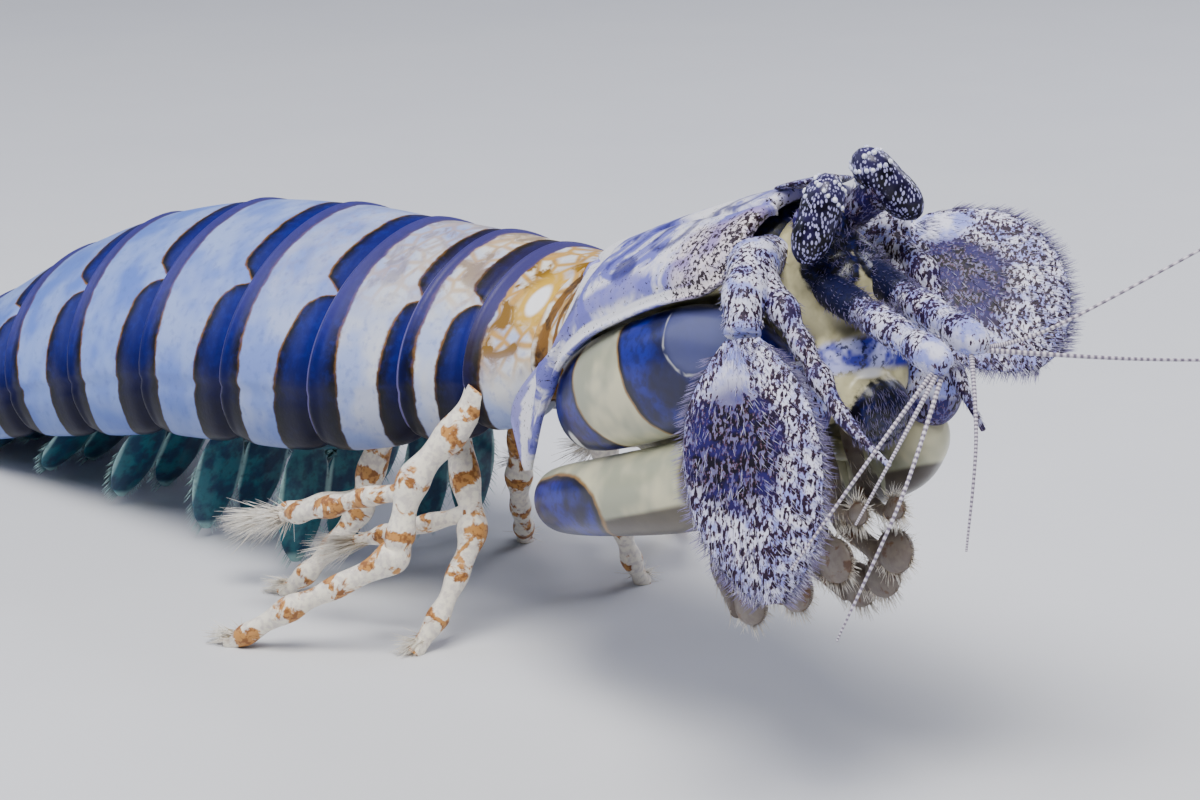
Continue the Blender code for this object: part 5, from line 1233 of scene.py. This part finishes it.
def tail_spine(root, tip, radius, matrix):
    """A straight tapered spine, from and to places in the tail's frame."""
    root, tip = moved((root, tip), matrix)
    path = smooth_path([root, (root + tip) / 2, tip], 10)
    taper = radius * (1.0 - np.linspace(0.0, 0.92, 10))
    grid = oval_grid(np.column_stack([path, taper, taper]), (0.1, 0.2, 1.0), 10)
    return tail_skin(grid, mark=5.0, cold=0.3, edge=FAR)


def telson():
    """Broad tail plate with a low middle boss and short spines along its rear edge."""
    matrix = turned(TELSON_ROOT, TAIL_YAW, TELSON_PITCH)
    stations = [(-back, 0.0, height, wide, thick) for back, wide, height, thick in TELSON_STATIONS]
    rows = smooth_path(stations, 50)
    grid = oval_grid(rows, (0, 1, 0), 96)
    back, across = -grid[..., 0], grid[..., 1]
    top = grid[..., 2] > rows[:, 2, None]
    boss = 1.9 * hump(across, 0.0, 3.4) * step(1.0, 6.0, back) * step(22.0, 14.0, back)
    ribs = 0.35 * sum(hump(np.abs(across) - 0.10 * back, centre, 0.8) for centre in (5.0, 9.0, 13.0))
    grid[..., 2] += np.where(top, boss + ribs * step(2.0, 6.0, back) * step(25.0, 18.0, back), 0.0)
    mark = np.minimum(back - 4.0 - 0.12 * np.abs(across), 22.5 - back - 0.012 * across ** 2)
    streak = 0.45 * np.abs(back - 12.0 - 0.3 * np.abs(across)) + np.abs(np.abs(across) - 8.5) - 2.6
    mark = np.minimum(mark, np.where(np.abs(across) > 4.0, streak, FAR))
    layers = [tail_skin(moved(grid, matrix), mark=mark, cold=0.8, edge=FAR)]
    for back_at, across_at in TELSON_SPINES:
        height = -5.4 - 0.12 * back_at
        for _, side in SIDES:
            root = (-back_at + 2.4, side * (across_at - 2.6), height)
            tip = (-back_at - 3.2, side * (across_at + 1.0), height - 0.4)
            layers.append(tail_spine(root, tip, 1.1, matrix))
    make("tail_plate", layers, ("telson",))


def uropod(tag, side):
    """Side of the tail fan: stem, outer and inner blade, edge spines and a fringe."""
    matrix = turned((TELSON_ROOT[0], TELSON_ROOT[1], 0.0), TAIL_YAW)
    layers, fringe_roots, fringe_ways = [], [], []
    blades = ((UROPOD_STEM, 26, -3.0), (UROPOD_OUTER, 60, -17.0), (UROPOD_INNER, 44, -14.0))
    for rows, count, dark_from in blades:
        path = side_rows(rows, side, count)
        grid = oval_grid(path, (0, 1, 0), 44, 0.2)
        mark = np.abs(grid[..., 0] - dark_from + 5.5) - 4.2
        layers.append(tail_skin(moved(grid, matrix), mark=mark, cold=0.8, edge=FAR))
        if rows is not UROPOD_STEM:
            at = chance.integers(count // 3, count, FAN_HAIRS)
            outwards = 0.35 if rows is UROPOD_OUTER else 0.5
            hand = np.where(chance.uniform(size=FAN_HAIRS) < outwards, side, -side)
            fringe_roots.append(path[at, :3] + np.outer(hand * path[at, 3] * 0.95, (0, 1, 0)))
            fringe_ways.append(np.outer(hand, (0, 1, 0)) + np.outer(0.4 + 1.6 * at / count, (-1, 0, 0)))
    spines = [((-4.0, side * 20.4, 3.6), (-15.5, side * 19.4, 0.8), 1.2)]
    for number in range(UROPOD_EDGE_SPINES):
        t = number / (UROPOD_EDGE_SPINES - 1.0)
        x, y, z = -12.0 - 12.0 * t, 30.0 + 5.0 * t, 2.2 - 1.2 * t
        spines.append(((x, side * (y - 1.8), z), (x - 3.0, side * (y + 2.6), z - 0.4), 0.6))
    layers += [tail_spine(*spine, matrix) for spine in spines]
    make("tail_fan_" + tag, layers, ("uropod_" + tag,))
    roots, ways = moved(np.concatenate(fringe_roots), matrix), np.concatenate(fringe_ways)
    ways = (ways + chance.normal(0.0, 0.1, ways.shape)) @ np.array(matrix)[:3, :3].T
    hair = bristles(roots, ways, chance.uniform(2.0, 3.4, len(roots)), BODY, 0.05)
    make("tail_fan_fringe_" + tag, [(hair, PALE_BRISTLE)])


# Stage: a plain pale floor, soft lights and the camera at the photograph's angle.
CAMERA_PLACE = (421.92, -308.34, 167.0)
CAMERA_AZIMUTH = 50.0
CAMERA_HEIGHT = 15.0
CAMERA_LENS = 100.0
FLOOR_HALF = 3.0
# Lights: place in metres, size in metres, power in watts, colour.
LIGHTS = (((0.30, -0.30, 0.85), 0.5, 13.0, "#fffdf8"), ((-0.6, -0.5, 0.6), 0.8, 4.0, "#dfe6ff"),
          ((0.1, 0.8, 0.6), 0.6, 6.0, "#eef0ff"))
LIGHT_TARGET = (0.03, 0.0, 0.04)
SKY_COLOUR = "#cfd6e6"
SKY_STRENGTH = 0.32


def paper(tree):
    """Matt studio paper with faint broad clouds."""
    cloud = add(tree, NOISE, (PLACE,), per_mm(40.0))
    return add(tree, MIX, cloud, "#d9dadd", "#d2d3d8"), None, 0.0, 0.0


def stage():
    """Floor, lights and surrounding light."""
    floor_mesh = bpy.data.meshes.new("floor")
    h = FLOOR_HALF
    floor_mesh.from_pydata([(-h, -h, 0), (h, -h, 0), (h, h, 0), (-h, h, 0)], [], [(0, 1, 2, 3)])
    floor = bpy.data.objects.new("floor", floor_mesh)
    bpy.context.scene.collection.objects.link(floor)
    floor_mesh.materials.append(coat("pale_paper_floor", paper, 0.8, specular=0.2))
    for number, (place, size, power, tint) in enumerate(LIGHTS):
        light = bpy.data.lights.new("soft_light_%d" % number, "AREA")
        light.size, light.energy, light.color = size, power, colour(tint)[:3]
        lamp = bpy.data.objects.new(light.name, light)
        bpy.context.scene.collection.objects.link(lamp)
        lamp.location = place
        aim = Vector(LIGHT_TARGET) - Vector(place)
        lamp.rotation_euler = aim.to_track_quat("-Z", "Y").to_euler()
    world = bpy.data.worlds.new("studio")
    bpy.context.scene.world = world
    world.use_nodes = True
    background = world.node_tree.nodes["Background"]
    background.inputs["Color"].default_value = colour(SKY_COLOUR)
    background.inputs["Strength"].default_value = SKY_STRENGTH
    camera = bpy.data.cameras.new("camera")
    camera.lens = CAMERA_LENS
    camera.clip_end = 20.0
    eye_point = bpy.data.objects.new("camera", camera)
    bpy.context.scene.collection.objects.link(eye_point)
    eye_point.location = Vector(CAMERA_PLACE) * MM
    eye_point.rotation_euler = (math.radians(90.0 - CAMERA_HEIGHT), 0.0, math.radians(CAMERA_AZIMUTH))
    bpy.context.scene.camera = eye_point


stage()
for index in range(len(SOMITES)):
    somite(index)
carapace()
rostral_plate()
thorax_core()
head()
telson()
for tag, side in SIDES:
    eye(tag)
    antennule(tag)
    antenna(tag)
    antennal_scale(tag)
    claw(tag, side)
    for number in MAXILLIPEDS:
        maxilliped(number, tag, side)
    for number in LEGS:
        walking_leg(number, tag, side)
    for number in range(1, 6):
        pleopod(number, tag, side)
    uropod(tag, side)
